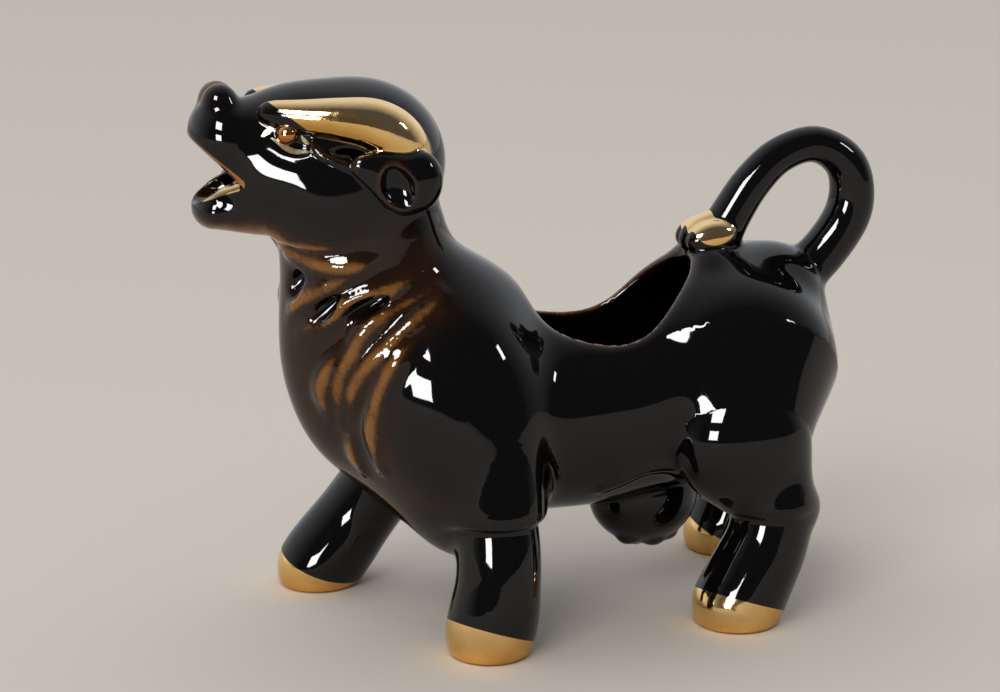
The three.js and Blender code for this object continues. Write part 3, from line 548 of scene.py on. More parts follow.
front = {
    "hip": FRONT_HIP,
    "track": FRONT_TRACK,
    "bow": FRONT_LEG_BOW,
    "upper": FRONT_UPPER,
    "cuff": FRONT_CUFF,
    "lower": FRONT_LOWER,
    "hind": False,
}
hind = {
    "track": HIND_TRACK,
    "bow": HIND_LEG_BOW,
    "upper": HIND_UPPER,
    "cuff": HIND_CUFF,
    "lower": HIND_LOWER,
    "hind": True,
}
legs = (
    leg_of("front_left", LEFT, foot=FRONT_LEFT_FOOT_AHEAD, **front),
    leg_of("front_right", RIGHT, foot=FRONT_RIGHT_FOOT_AHEAD, **front),
    leg_of("rear_left", LEFT, foot=-HIND_LEFT_FOOT_BEHIND, hip=HIND_LEFT_HIP, **hind),
    leg_of("rear_right", RIGHT, foot=-HIND_RIGHT_FOOT_BEHIND, hip=HIND_RIGHT_HIP, **hind),
)

# Head
skull_centre = beside(neck_top, HEAD_PLACE)
muzzle_centre = beside(skull_centre, MUZZLE_PLACE)
mouth_corner = beside(skull_centre, MOUTH_CORNER_PLACE)
jaw_hinge = beside(skull_centre, JAW_HINGE_PLACE)
jaw_tip = beside(skull_centre, JAW_TIP_PLACE)
skull = ellipsoid(skull_centre, SKULL_SIZE)
face_stations = [(beside(skull_centre, (BROW_AHEAD, 0, 0)), BROW_DIAMETER), (muzzle_centre, MUZZLE_DIAMETER)]
face = limb(face_stations, FACE_WIDENING)
jowls = mirrored(ellipsoid(beside(mouth_corner, JOWL_PLACE), JOWL_SIZE, turn=JOWL_TURN))
cheeks = mirrored(ellipsoid(beside(skull_centre, CHEEK_PLACE), CHEEK_SIZE))
nostril_middle = beside(muzzle_centre, (NOSTRIL_PLACE[0], 0, NOSTRIL_PLACE[2]))
nostrils = mirrored(ball(beside(muzzle_centre, NOSTRIL_PLACE), NOSTRIL_DIAMETER))
nose = ellipsoid(beside(muzzle_centre, NOSE_PLACE), NOSE_SIZE)
poll = ellipsoid(beside(skull_centre, POLL_PLACE), POLL_SIZE)
jaw = limb([(jaw_hinge, JAW_HINGE_DIAMETER), (jaw_tip, JAW_TIP_DIAMETER)], JAW_WIDENING)
scoop = ellipsoid(beside(skull_centre, SCOOP_PLACE), SCOOP_SIZE)
channel = limb(
    [
        (beside(jaw_tip, (JAW_TIP_DIAMETER, 0, JAW_TIP_DIAMETER / 2)), SPOUT_DIAMETER),
        (mouth_corner, SPOUT_DIAMETER),
        (jaw_hinge, (SPOUT_DIAMETER + THROAT_DIAMETER) / 2),
        (neck_top, THROAT_DIAMETER),
    ],
    CHANNEL_WIDENING,
)


def over_upper_lip(p):
    """Height over the plane of the upper lip, square to it."""
    angle = math.radians(UPPER_LIP_ANGLE)
    return (p[2] - mouth_corner[2]) * math.cos(angle) - (mouth_corner[0] - p[0]) * math.sin(angle)


def over_lower_lip(p):
    angle = math.radians(LOWER_LIP_ANGLE)
    return (p[2] - mouth_corner[2]) * math.cos(angle) + (mouth_corner[0] - p[0]) * math.sin(angle)


features = (
    (face, FACE_BLEND),
    (cheeks, FACE_BLEND),
    (poll, POLL_BLEND),
    (nose, SMALL_BLEND),
    (nostrils, NOSTRIL_BLEND),
    (jaw, SMALL_BLEND),
    (jowls, JOWL_BLEND),
)
closed_head = joined(skull, features)


def head(p):
    wedge = smooth_max(over_upper_lip(p), -over_lower_lip(p), LIP_ROUNDING)
    return smooth_max(closed_head(p), -wedge, LIP_ROUNDING)


rim_lip = ellipsoid(beside(barrel_centre, RIM_LIP_PLACE), RIM_LIP_SIZE)
parts = [(rim_lip, RIM_LIP_BLEND)]
parts += [(leg["quarter"], HAUNCH_BLEND) for leg in legs if leg["hind"]]
parts += [(leg["mass"], LEG_BLEND) for leg in legs]
parts.append((head, SMALL_BLEND))
plain_figure = joined(trunk, parts)


# Folds, creases and pits lie on the skin of one flank and are mirrored to the other.
def on_skin(path, sink):
    made = []
    for ahead, height in path:
        spot = surface_from(plain_figure, at(ahead, 0, height), OUT)
        slope = slope_at(plain_figure, [np.array([c]) for c in spot])[:, 0]
        made.append(spot - sink * slope / np.linalg.norm(slope))
    return made


def rope_of(path, diameter, end_diameter, sink):
    points = on_skin(path, sink)
    ends = (0, len(points) - 1)
    diameters = [end_diameter if i in ends else diameter for i in range(len(points))]
    return mirrored(limb(smoothed(list(zip(points, diameters))), blend=FINE_BLEND))


def pit_of(place, length, height, slope):
    (centre,) = on_skin([place], 0)
    return mirrored(ellipsoid(centre, (length, 2 * PIT_DEPTH, height), slope))


folds = [rope_of(path, FOLD_DIAMETER, FOLD_END_DIAMETER, FOLD_SINK) for path in FOLDS]
for path in (*FINE_FOLDS, FLANK_FOLD):
    folds.append(rope_of(path, FINE_FOLD_DIAMETER, FINE_FOLD_DIAMETER / 2, FINE_FOLD_SINK))
crests = [rope_of(path, CREST_WIDTH, CREST_END_WIDTH, -CREST_RISE) for path in (*FOLDS, *FINE_FOLDS)]
lock = rope_of(LOCK, LOCK_DIAMETER, LOCK_DIAMETER / 2, LOCK_SINK)
pits = [pit_of(*pit) for pit in PITS]
eye_seat = surface_from(head, beside(skull_centre, EYE_PLACE), OUT)
eye_socket = mirrored(ellipsoid(beside(eye_seat, SOCKET_PLACE), SOCKET_SIZE, SOCKET_TILT))
temple_seat = surface_from(head, beside(skull_centre, TEMPLE_PLACE), OUT)
temple = mirrored(ellipsoid(temple_seat, TEMPLE_SIZE, TEMPLE_TILT))


def figure(p):
    total = plain_figure(p)
    for fold in folds:
        total = smooth_min(total, fold(p), FOLD_BLEND)
    for pit in pits:
        total = smooth_max(total, -pit(p), PIT_BLEND)
    total = smooth_max(total, -eye_socket(p), DISH_BLEND)
    total = smooth_max(total, -temple(p), DISH_BLEND)
    total = smooth_min(total, lock(p), SHELL_ROUNDING)
    return smooth_max(total, -scoop(p), SHELL_ROUNDING)


# Horns, ears and eyes
def ear_limb(stations, flatness):
    return limb(smoothed([(beside(ear_centre, place), d) for place, d in stations]), flatness)


horns = mirrored(limb(smoothed([(beside(skull_centre, place), d) for place, d in HORN_STATIONS])))
ear_seat = surface_from(head, beside(skull_centre, EAR_PLACE), OUT)
ear_centre = beside(ear_seat, (0, EAR_PROUD, 0))
ear_leaf = mirrored(ear_limb(EAR_LEAF, EAR_FLATNESS))
ear_back = mirrored(ellipsoid(beside(ear_centre, EAR_BACK_PLACE), EAR_BACK_SIZE))
ear_hollow = mirrored(ear_limb(EAR_HOLLOW, EAR_HOLLOW_FLATNESS))
eyes = mirrored(ball(beside(eye_seat, (0, EYE_PROUD, 0)), EYE_DIAMETER))


def ears(p):
    total = smooth_min(ear_leaf(p), ear_back(p), EAR_BLEND)
    return smooth_max(total, -ear_hollow(p), EAR_ROUNDING)


# Tail and tufts
root_angle = math.radians(TAIL_ROOT_ANGLE)
tail_direction = at(-math.cos(root_angle), 0, math.sin(root_angle))
tail_root = surface_from(trunk, rump_centre, tail_direction)
tip_behind = OPENING_BEHIND + OPENING_SIZE[0] / 2 + TAIL_TIP_SETBACK
tail_tip = surface_from(trunk, at(-tip_behind, 0, rump_centre[2]), UP)
tail_stations = [(tail_root - TAIL_ROOT_SINK * tail_direction, TAIL_ROOT_DIAMETER)]
tail_stations += [(beside(tail_root, place), d) for place, d in TAIL_FROM_ROOT]
tail_stations += [(beside(tail_tip, place), d) for place, d in TAIL_FROM_TIP]
tail = limb(smoothed(tail_stations))
tuft_middle = ellipsoid(beside(tail_tip, TUFT_PLACE), TUFT_SIZE, TUFT_TILT)
tuft_locks = mirrored(ellipsoid(beside(tail_tip, TUFT_LOCK_PLACE), TUFT_LOCK_SIZE, TUFT_LOCK_TILT))
tail_tuft = joined(tuft_middle, [(tuft_locks, TUFT_BLEND)])
tuft_gold = ellipsoid(beside(tail_tip, TUFT_GOLD_PLACE), TUFT_GOLD_SIZE, TUFT_GOLD_TILT)
belly_skin = surface_from(trunk, at(-BELLY_TUFT_BEHIND, 0, AXIS_HEIGHT), -UP)
belly_centre = beside(belly_skin, (0, 0, -BELLY_TUFT_DROP))
belly_lobe = ellipsoid(belly_centre, BELLY_TUFT_SIZE)


def hair_end(behind, side, length):
    root = beside(belly_centre, (-behind, side, 0))
    tip = surface_from(belly_lobe, root, -UP)
    return ellipsoid(tip + UP, (*HAIR_END_SIZE, 2 * length))


belly_tuft = joined(belly_lobe, [(hair_end(*place), HAIR_BLEND) for place in HAIR_ENDS])


def whole(p):
    total = smooth_min(figure(p), tail(p), TAIL_BLEND)
    total = smooth_min(total, belly_tuft(p), TUFT_BLEND)
    total = smooth_max(total, -hollow(p), HOLLOW_ROUNDING)
    total = smooth_max(total, -channel(p), SHELL_ROUNDING)
    total = smooth_max(total, -opening(p), RIM_ROUNDING)
    total = smooth_min(total, tail_tuft(p), TUFT_BLEND)
    total = smooth_min(total, ears(p), SHELL_ROUNDING)
    total = smooth_min(total, horns(p), HORN_BLEND)
    total = smooth_min(total, eyes(p), EYE_BLEND)
    return smooth_max(total, -p[2], SOLE_ROUNDING)


# Nets: the surface of a mass as triangles
BLOCK = 4
NEAR_BLOCKS = 1.5
LEAST_STEEPNESS = 0.05
LONGEST_MOVE = 1 / 3


def grid_values(mass, low, high, cell):
    """Values on a regular grid, worked out only in the blocks near the surface."""
    blocks = np.ceil((np.asarray(high) - low) / (BLOCK * cell)).astype(int)
    middles = [a + (np.arange(n) + 0.5) * BLOCK * cell for a, n in zip(low, blocks)]
    rough = mass(np.meshgrid(*middles, indexing="ij"))
    cells = np.abs(rough) < NEAR_BLOCKS * BLOCK * cell
    signs = rough
    for axis in range(3):
        cells = np.repeat(cells, BLOCK, axis)
        signs = np.repeat(signs, BLOCK, axis)
    wanted = np.pad(cells, ((0, 1),) * 3)
    for axis in range(3):
        wanted |= np.roll(wanted, 1, axis)
    values = np.where(np.pad(signs, ((0, 1),) * 3, mode="edge") < 0, -FAR, FAR)
    spots = np.nonzero(wanted)
    values[spots] = mass([a + i * cell for a, i in zip(low, spots)])
    return values


def net_of(mass, low, high, cell):
    values = grid_values(mass, low, high, cell)
    inside = values < 0
    dims = np.array(values.shape) - 1
    total = int(dims.prod())
    sums = np.zeros((4, total))
    quads = []
    for axis in range(3):
        first = [slice(None)] * 3
        second = [slice(None)] * 3
        first[axis] = slice(0, -1)
        second[axis] = slice(1, None)
        first, second = tuple(first), tuple(second)
        at_edge = np.array(np.nonzero(inside[first] != inside[second]))
        u, v = (axis + 1) % 3, (axis + 2) % 3
        whole_ring = (at_edge[u] > 0) & (at_edge[v] > 0) & (at_edge[u] < dims[u]) & (at_edge[v] < dims[v])
        at_edge = at_edge[:, whole_ring]
        a = values[first][tuple(at_edge)]
        b = values[second][tuple(at_edge)]
        crossing = at_edge.astype(float)
        crossing[axis] += a / (a - b)
        ring = []
        for du, dv in ((0, 0), (-1, 0), (-1, -1), (0, -1)):
            corner = at_edge.copy()
            corner[u] += du
            corner[v] += dv
            ring.append(np.ravel_multi_index(tuple(corner), tuple(dims)))
            for k in range(3):
                sums[k] += np.bincount(ring[-1], crossing[k], total)
            sums[3] += np.bincount(ring[-1], minlength=total)
        quad = np.stack(ring, 1)
        quads.append(np.where((a < 0)[:, None], quad, quad[:, ::-1]))
    used = np.flatnonzero(sums[3])
    number = np.zeros(total, int)
    number[used] = np.arange(len(used))
    points = np.asarray(low)[:, None] + cell * sums[:3, used] / sums[3, used]
    quads = number[np.concatenate(quads)]
    points = settled(mass, points, cell).T
    across = np.linalg.norm(points[quads[:, 0]] - points[quads[:, 2]], axis=1)
    other = np.linalg.norm(points[quads[:, 1]] - points[quads[:, 3]], axis=1)
    turned = np.where((across <= other)[:, None], quads, np.roll(quads, 1, axis=1))
    return points, np.concatenate([turned[:, [0, 1, 2]], turned[:, [0, 2, 3]]])


def settled(mass, points, cell, rounds=2):
    """Moves points of a net on to the surface itself."""
    start = points.copy()
    for _ in range(rounds):
        slope = slope_at(mass, points)
        steep = np.maximum((slope**2).sum(0), LEAST_STEEPNESS)
        points = points - slope * mass(list(points)) / steep
    moved = points - start
    length = np.sqrt((moved**2).sum(0)) + TINY
    return start + moved * np.minimum(1, cell * LONGEST_MOVE / length)


class Skin:
    """Triangles of one region, each with the piece that it belongs to and the paint on it."""

    def __init__(self, mass, low, high, cell, piece):
        self.points, self.faces = net_of(mass, low, high, cell)
        self.piece = np.full(len(self.faces), piece, object)
        self.paint = np.zeros(len(self.faces), int)

    def columns(self):
        return list(self.points.T)

    def divide(self, function):
        """Cuts the triangles along the line where a function of place is zero. Says which lie inside."""
        g = function(self.columns())
        inside = g < 0
        count = inside[self.faces].sum(1)
        mixed = (count == 1) | (count == 2)
        faces = self.faces[mixed]
        if len(faces):
            odd = inside[faces] == (count[mixed] == 1)[:, None]
            lone = odd.argmax(1)
            turn = (lone[:, None] + np.arange(3)) % 3
            a, b, c = np.take_along_axis(faces, turn, 1).T
            pairs = np.sort(np.concatenate([np.stack([a, b], 1), np.stack([a, c], 1)]), axis=1)
            unique, back = np.unique(pairs, axis=0, return_inverse=True)
            back = back.ravel()
            t = g[unique[:, 0]] / (g[unique[:, 0]] - g[unique[:, 1]])
            made = self.points[unique[:, 0]] * (1 - t[:, None]) + self.points[unique[:, 1]] * t[:, None]
            ab, ac = (back + len(self.points)).reshape(2, -1)
            self.points = np.concatenate([self.points, made])
            parts = [np.stack(rows, 1) for rows in ((a, ab, ac), (ab, b, c), (ab, c, ac))]
            lone_inside = inside[a]
            self.faces = np.concatenate([self.faces[~mixed], *parts])
            flags = [count[~mixed] == 3, lone_inside, ~lone_inside, ~lone_inside]
            self.piece = np.concatenate([self.piece[~mixed], *[self.piece[mixed]] * 3])
            self.paint = np.concatenate([self.paint[~mixed], *[self.paint[mixed]] * 3])
            return np.concatenate(flags)
        return count == 3

    def give(self, piece, function, taken_from):
        """Names the part of some pieces where a function is negative."""
        inside = self.divide(function)
        self.piece[inside & np.isin(self.piece, taken_from)] = piece

    def give_sides(self, piece, function, taken_from):
        """The same for a pair of pieces, left and right."""
        inside = self.divide(function) & np.isin(self.piece, taken_from)
        middle = self.points[self.faces][:, :, 1].mean(1)
        self.piece[inside & (middle < 0)] = "left_" + piece
        self.piece[inside & (middle > 0)] = "right_" + piece

    def paint_where(self, paint, function, pieces):
        inside = self.divide(function) & np.isin(self.piece, pieces)
        self.paint[inside] = paint


def caps_of(points, faces, neighbour):
    """Triangles that close a cut piece, one set for each neighbour that it was cut from."""
    edges = np.concatenate([faces[:, [0, 1]], faces[:, [1, 2]], faces[:, [2, 0]]])
    key = np.sort(edges, axis=1)
    _, first, count = np.unique(key, axis=0, return_index=True, return_counts=True)
    open_edges = edges[first[count == 1]]
    names = np.array([neighbour.get((a, b), "") for a, b in open_edges], object)
    made = []
    for name in sorted(set(names)):
        rim = open_edges[names == name]
        bm = bmesh.new()
        used, local = np.unique(rim, return_inverse=True)
        verts = [bm.verts.new(points[i]) for i in used]
        edges_made = [bm.edges.new((verts[i], verts[j])) for i, j in local.reshape(-1, 2)]
        bm.verts.index_update()
        bmesh.ops.triangle_fill(bm, use_beauty=True, use_dissolve=False, edges=edges_made)
        fill = np.array([[used[v.index] for v in f.verts] for f in bm.faces], int).reshape(-1, 3)
        bm.free()
        if not len(fill):
            continue
        ways = {tuple(e) for e in rim}
        wrong = sum((a, b) in ways for f in fill for a, b in zip(f, np.roll(f, -1)))
        made.append(fill[:, ::-1] if wrong else fill)
    return np.concatenate(made) if made else np.zeros((0, 3), int)


# Cuts between the pieces
neck_joint_height = skull_centre[2] + CHEEK_PLACE[2] - CHEEK_SIZE[2] / 2


def above_neck(p):
    return neck_joint_height - p[2]


def in_jaw(p):
    return np.maximum(p[0] - mouth_corner[0], p[2] - mouth_corner[2])


def in_leg(leg):
    slope = math.radians(LEG_JOINT_SLOPE)
    lean = leg["side"] * math.sin(slope)
    fore = -1 if leg["hind"] else 1

    def function(p):
        out = (p[1] - leg["side"] * LEG_JOINT_SIDE) * lean
        down = (AXIS_HEIGHT - LEG_JOINT_DROP - p[2]) * math.cos(slope)
        return np.maximum(np.maximum(-out - down, fore * p[0]), -leg["side"] * p[1])

    return function


def in_hoof(leg):
    slope = math.tan(math.radians(HOOF_SLOPE))
    cant = math.tan(math.radians(HOOF_CANT)) * leg["side"]

    def function(p):
        ahead = leg["foot"][0] - p[0]
        out = p[1] - leg["foot"][1]
        return p[2] - HOOF_HEIGHT - slope * ahead - cant * out

    return function


def in_horn(p):
    return horns(p) - smooth_min(figure(p), ears(p), SHELL_ROUNDING)


def in_ear(p):
    return ears(p) - figure(p)


def in_eye(p):
    return eyes(p) - smooth_min(figure(p), horns(p), HORN_BLEND)


def in_tail(p):
    return tail(p) - figure(p)


def in_tail_tuft(p):
    return tail_tuft(p) - smooth_min(figure(p), tail(p), TAIL_BLEND)


def in_belly_tuft(p):
    return belly_tuft(p) - figure(p)


# Regions of the skin, each on a grid of its own
cell_scale = 1.0
MARGIN = 3.0
WIDE_MARGIN = 4
HEAD_SIDE_MARGIN = 6
TRUNK_SIDE_MARGIN = 8
TRUNK_LOW = 10
NARROW_MARGIN = 2
HORNS = ["left_horn", "right_horn"]
EARS = ["left_ear", "right_ear"]
EYES = ["left_eye", "right_eye"]
LIP_LINE_BEHIND = 1
GLAZE, GOLD, COPPER, CREAM = 0, 1, 2, 3
OTHER = "other"
HORN_BLACK_AHEAD = 18.6
HORN_BLACK_RISE = 13.8
HORN_BLACK_LEAN = 1.3
HORN_BLACK_UNDER = 3.5


def everywhere(p):
    return np.full(p[0].shape, -1.0)


def lid_of(stations):
    """A stroke along the skin of the head."""
    made = []
    for (ahead, rise), width in stations:
        start = beside(skull_centre, (ahead, 0, rise))
        made.append((surface_from(figure, start, OUT), width))
    return mirrored(limb(smoothed(made), blend=FINE_BLEND))


lids = [lid_of(stations) for stations in LIDS]


def in_lids(p):
    return np.minimum.reduce([lid(p) for lid in lids])


def on_horn_tip(p):
    rise = p[2] - skull_centre[2] - HORN_BLACK_RISE
    return HORN_BLACK_AHEAD + HORN_BLACK_LEAN * rise - (skull_centre[0] - p[0])


def band(height, width):
    return np.abs(height - width / 2) - width / 2


def on_upper_lip(p):
    """A line that thins out from the corner of the mouth to the front."""
    ahead = mouth_corner[0] - p[0]
    width = UPPER_LIP_LINE_WIDTH * np.clip(1 - ahead / LIP_LINE_LENGTH, 0, 1)
    return np.maximum(band(over_upper_lip(p), width), -ahead - LIP_LINE_BEHIND)


def on_lower_lip(p):
    """A line on the edge of the lip, outside the channel."""
    line = np.maximum(band(-over_lower_lip(p), LOWER_LIP_LINE_WIDTH), p[0] - mouth_corner[0])
    return np.maximum(line, LIP_LINE_INSET - channel(p))


def head_skin():
    side = SKULL_SIZE[1] / 2 + HEAD_SIDE_MARGIN
    low = at(JAW_TIP_PLACE[0] + MUZZLE_DIAMETER / 2, -side, 0) + [skull_centre[0], 0, 0]
    high = at(-SKULL_SIZE[0] / 2 - WIDE_MARGIN, side, SKULL_SIZE[2] / 2 + WIDE_MARGIN) + skull_centre
    low[2] = neck_joint_height - MARGIN
    skin = Skin(whole, low, high, HEAD_CELL * cell_scale, OTHER)
    skin.give("head_shell", above_neck, [OTHER])
    skin.give("lower_jaw", in_jaw, ["head_shell"])
    skin.give_sides("ear", in_ear, ["head_shell"])
    skin.give_sides("horn", in_horn, ["head_shell", *EARS])
    skin.give_sides("eye", in_eye, ["head_shell", *HORNS])
    skin.paint_where(GOLD, everywhere, HORNS)
    skin.paint_where(COPPER, everywhere, EYES)
    base = skull_centre[2] + HORN_BLACK_UNDER
    skin.paint_where(GLAZE, on_horn_tip, HORNS)
    skin.paint_where(GLAZE, lambda p: p[2] - base, HORNS)
    skin.paint_where(CREAM, in_lids, ["head_shell"])
    skin.paint_where(COPPER, on_upper_lip, ["head_shell"])
    skin.paint_where(GOLD, on_lower_lip, ["lower_jaw"])
    return skin


def trunk_skin():
    shoulder_side = SHOULDER_PLACE[1] + SHOULDER_SIZE[1] / 2
    haunch_side = HAUNCH_PLACE[1] + HAUNCH_DIAMETER / 2
    side = max(shoulder_side, haunch_side) + TRUNK_SIDE_MARGIN
    low = np.array([neck_top[0] - NECK_DIAMETERS[0] / 2 - WIDE_MARGIN, -side, TRUNK_LOW])
    high = np.array([rump_centre[0] + RUMP_SIZE[0] / 2 + WIDE_MARGIN, side, neck_joint_height + MARGIN])
    skin = Skin(whole, low, high, TRUNK_CELL * cell_scale, "body_shell")
    skin.give("belly_tuft", in_belly_tuft, ["body_shell"])
    for leg in legs:
        skin.give(leg["name"] + "_leg_cut", in_leg(leg), ["body_shell"])
    skin.give("tail_cut", in_tail, ["body_shell"])
    skin.give("tuft_cut", in_tail_tuft, ["body_shell", "tail_cut"])
    skin.give("head_cut", above_neck, ["body_shell", "tail_cut", "tuft_cut"])
    return skin


def tail_skin():
    points = np.array([s for s, _ in tail_stations])
    low = points.min(0) - TUFT_SIZE[0] / 2 - WIDE_MARGIN
    high = points.max(0) + TUFT_SIZE[0] / 2 + NARROW_MARGIN
    skin = Skin(whole, low, high, TAIL_CELL * cell_scale, OTHER)
    skin.give("tail_handle", in_tail, [OTHER])
    skin.give("tail_tuft", in_tail_tuft, [OTHER, "tail_handle"])
    skin.paint_where(GOLD, tuft_gold, ["tail_tuft"])
    return skin


def leg_skin(leg):
    points = np.array([s for s, _ in leg["stations"]])
    half = max(d for _, d in leg["stations"]) / 2 + WIDE_MARGIN
    low = points.min(0) - half
    high = points.max(0) + half
    low[2] = -NARROW_MARGIN
    skin = Skin(whole, low, high, LEG_CELL * cell_scale, OTHER)
    skin.give("tuft_cut", in_belly_tuft, [OTHER])
    skin.give(leg["name"] + "_leg", in_leg(leg), [OTHER])
    skin.give(leg["name"] + "_hoof", in_hoof(leg), [leg["name"] + "_leg"])
    skin.paint_where(GOLD, everywhere, [leg["name"] + "_hoof"])
    return skin


# Glaze thins on ridges and shows the brown clay under it. A pair says where something starts and where it
# is full: bends in one over millimetres, and the rest in millimetres.
RIDGE_STEP = 0.9
EDGE_BENDS = (0.3, 1.1)
BIB_AXIS = at(33, 0, 58)
BIB_REACH = (20, 27)
BIB_AHEAD = (34, 46)
BIB_FOOT = (30, 38)
BIB_TOP = (98, 106)
CREST_FADE = (-CREST_WIDTH / 4, CREST_WIDTH / 2)
CREST_SHARPNESS = 1.3
BETWEEN_CRESTS = 0.46
PIT_DEPTHS = (0.1, 0.9)
PIT_DARKNESS = 0.85
RIM_REACH = (0.9, 3.2)
RIM_DEPTH = (-2.2, -1)
RIM_FROM_TUFT = (0.5, 2)
KNOB_REACH = (3.5, 7)
CHIN_AHEAD = (74, 84)
CHIN_TOP = (102, 108)
CHIN_FOOT = (92, 97)
EDGE_BROWN = 0.55
RIM_BROWN = 0.62
KNOB_BROWN = 0.7
CHIN_BROWN = 0.55


def smooth_step(values, start, end):
    t = np.clip((values - start) / (end - start), 0, 1)
    return t * t * (3 - 2 * t)


def bend_of(p):
    """How convex the skin is, as one over millimetres."""
    total = -6 * whole(p)
    for axis in range(3):
        for way in (-1, 1):
            total = total + whole([c + way * RIDGE_STEP * (k == axis) for k, c in enumerate(p)])
    return total / RIDGE_STEP**2


def brown_of(p):
    """How much brown shows at places on the skin, from 0 to 1."""
    ahead, height = -p[0], p[2]
    edge = smooth_step(bend_of(p), *EDGE_BENDS)
    reach = np.hypot(p[0] - BIB_AXIS[0], height - BIB_AXIS[2])
    bib = smooth_step(reach, *BIB_REACH) * smooth_step(ahead, *BIB_AHEAD)
    bib = bib * smooth_step(height, *BIB_FOOT) * (1 - smooth_step(height, *BIB_TOP))
    rise = plain_figure(p)
    crest = np.minimum.reduce([mass(p) for mass in crests])
    ridge = smooth_step(-crest, *CREST_FADE) ** CREST_SHARPNESS
    pit = smooth_step(-rise, *PIT_DEPTHS)
    bib = bib * (BETWEEN_CRESTS + (1 - BETWEEN_CRESTS) * ridge) * (1 - PIT_DARKNESS * pit)
    rim = (1 - smooth_step(opening(p), *RIM_REACH)) * smooth_step(rise, *RIM_DEPTH)
    rim = rim * smooth_step(tail_tuft(p), *RIM_FROM_TUFT)
    from_nostrils = np.sqrt(sum((c - m) ** 2 for c, m in zip(p, nostril_middle)))
    knob = 1 - smooth_step(from_nostrils, *KNOB_REACH)
    chin = smooth_step(ahead, *CHIN_AHEAD) * (1 - smooth_step(height, *CHIN_TOP))
    chin = chin * smooth_step(height, *CHIN_FOOT)
    total = bib + EDGE_BROWN * edge + RIM_BROWN * rim + KNOB_BROWN * knob + CHIN_BROWN * chin
    return np.clip(total, 0, 1)


# Pieces in the frame
NORMAL_STEP = 0.1
mounts = {m["name"]: Vector(m["pos_m"]) / MM for m in frame["record"]["mounts"]}
offset = np.array(mounts["front_left_sole"]) - at(FRONT_LEFT_FOOT_AHEAD, -FRONT_TRACK / 2, 0)


def neighbours_of(faces, pieces):
    """The piece across each edge, keyed by the edge as this side walks it."""
    edges = np.concatenate([faces[:, [0, 1]], faces[:, [1, 2]], faces[:, [2, 0]]])
    owner = np.concatenate([pieces] * 3)
    size = int(edges.max()) + 1
    forward = edges[:, 0].astype(np.int64) * size + edges[:, 1]
    backward = edges[:, 1].astype(np.int64) * size + edges[:, 0]
    order = np.argsort(forward)
    spot = np.clip(np.searchsorted(forward[order], backward), 0, len(order) - 1)
    found = forward[order][spot] == backward
    across = np.where(found, owner[order][spot], "")
    return edges, owner, across


def add_object(name, data):
    made = bpy.data.objects.new(name, data)
    bpy.context.scene.collection.objects.link(made)
    return made


def make_piece(name, skin, normals, brown, materials, slot):
    mine = skin.piece == name
    edges, owner, across = skin.links
    border = (owner == name) & (across != name)
    neighbour = {(a, b): w for (a, b), w in zip(map(tuple, edges[border]), across[border])}
    faces = skin.faces[mine]
    caps = caps_of(skin.points, faces, neighbour)
    every = np.concatenate([faces, caps])
    used, local = np.unique(every, return_inverse=True)
    local = local.reshape(-1, 3)
    mesh = bpy.data.meshes.new(name + "_glazed")
    mesh.vertices.add(len(used))
    mesh.vertices.foreach_set("co", ((skin.points[used] + offset) * MM).ravel())
    mesh.loops.add(local.size)
    mesh.loops.foreach_set("vertex_index", local.ravel())
    mesh.polygons.add(len(local))
    mesh.polygons.foreach_set("loop_start", np.arange(len(local)) * 3)
    mesh.polygons.foreach_set("loop_total", np.full(len(local), 3))
    paint = np.concatenate([skin.paint[mine], np.zeros(len(caps), int)])
    kinds = sorted(set(paint))
    mesh.polygons.foreach_set("material_index", np.searchsorted(kinds, paint))
    mesh.polygons.foreach_set("use_smooth", np.ones(len(local), bool))
    mesh.update(calc_edges=True)
    mesh.validate()
    corner = np.asarray(skin.points)[caps]
    flat = np.cross(corner[:, 1] - corner[:, 0], corner[:, 2] - corner[:, 0])
    flat /= np.linalg.norm(flat, axis=1)[:, None] + TINY
    loops = np.concatenate([normals[faces].reshape(-1, 3), np.repeat(flat, 3, axis=0)])
    mesh.normals_split_custom_set(loops)
    layer = mesh.attributes.new("brown", "FLOAT", "POINT")
    layer.data.foreach_set("value", brown[used])
    for kind in kinds:
        mesh.materials.append(materials[kind])
    made = add_object(name + "_glazed", mesh)
    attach(made, "root")
    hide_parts(name)


def dress(skin, materials):
    names = [n for n in sorted(set(skin.piece)) if n in frame["nodes"]]
    p = skin.columns()
    slope = slope_at(whole, p, NORMAL_STEP)
    normals = (slope / (np.sqrt((slope**2).sum(0)) + TINY)).T
    brown = brown_of(p)
    skin.links = neighbours_of(skin.faces, skin.piece)
    slots = {s["node"]: s["material_slot"] for s in frame["record"]["subparts"]}
    for name in names:
        make_piece(name, skin, normals, brown, materials, slots[name])


# Materials: scales of the noise and colours. A roughness is how much the noise adds, then the least.
CLOUD_SCALE = 160
SPECK_SCALE = 1500
SPECK_DETAIL = 2
CLOUD_STRENGTH = 0.9
SPECK_STRENGTH = 0.4
GLAZE_STOPS = (
    (0.0, (0.0035, 0.0028, 0.0028)),
    (0.3, (0.011, 0.005, 0.003)),
    (0.6, (0.042, 0.015, 0.0045)),
    (1.0, (0.3, 0.125, 0.026)),
)
GLAZE_ROUGHNESS = (0.04, 0.015)
GLAZE_IOR = 1.42
GLAZE_WAVE_SCALE = 260
GLAZE_WAVE_DETAIL = 1
GLAZE_WAVE = 0.03
STREAK_SCALE = 900
PALE_GOLD_STOPS = ((0.35, (0.5, 0.4, 0.22)), (0.6, (0.82, 0.74, 0.54)))
PALE_GOLD_ROUGHNESS = (0.2, 0.1)
PALE_GOLD_METAL = 0.35
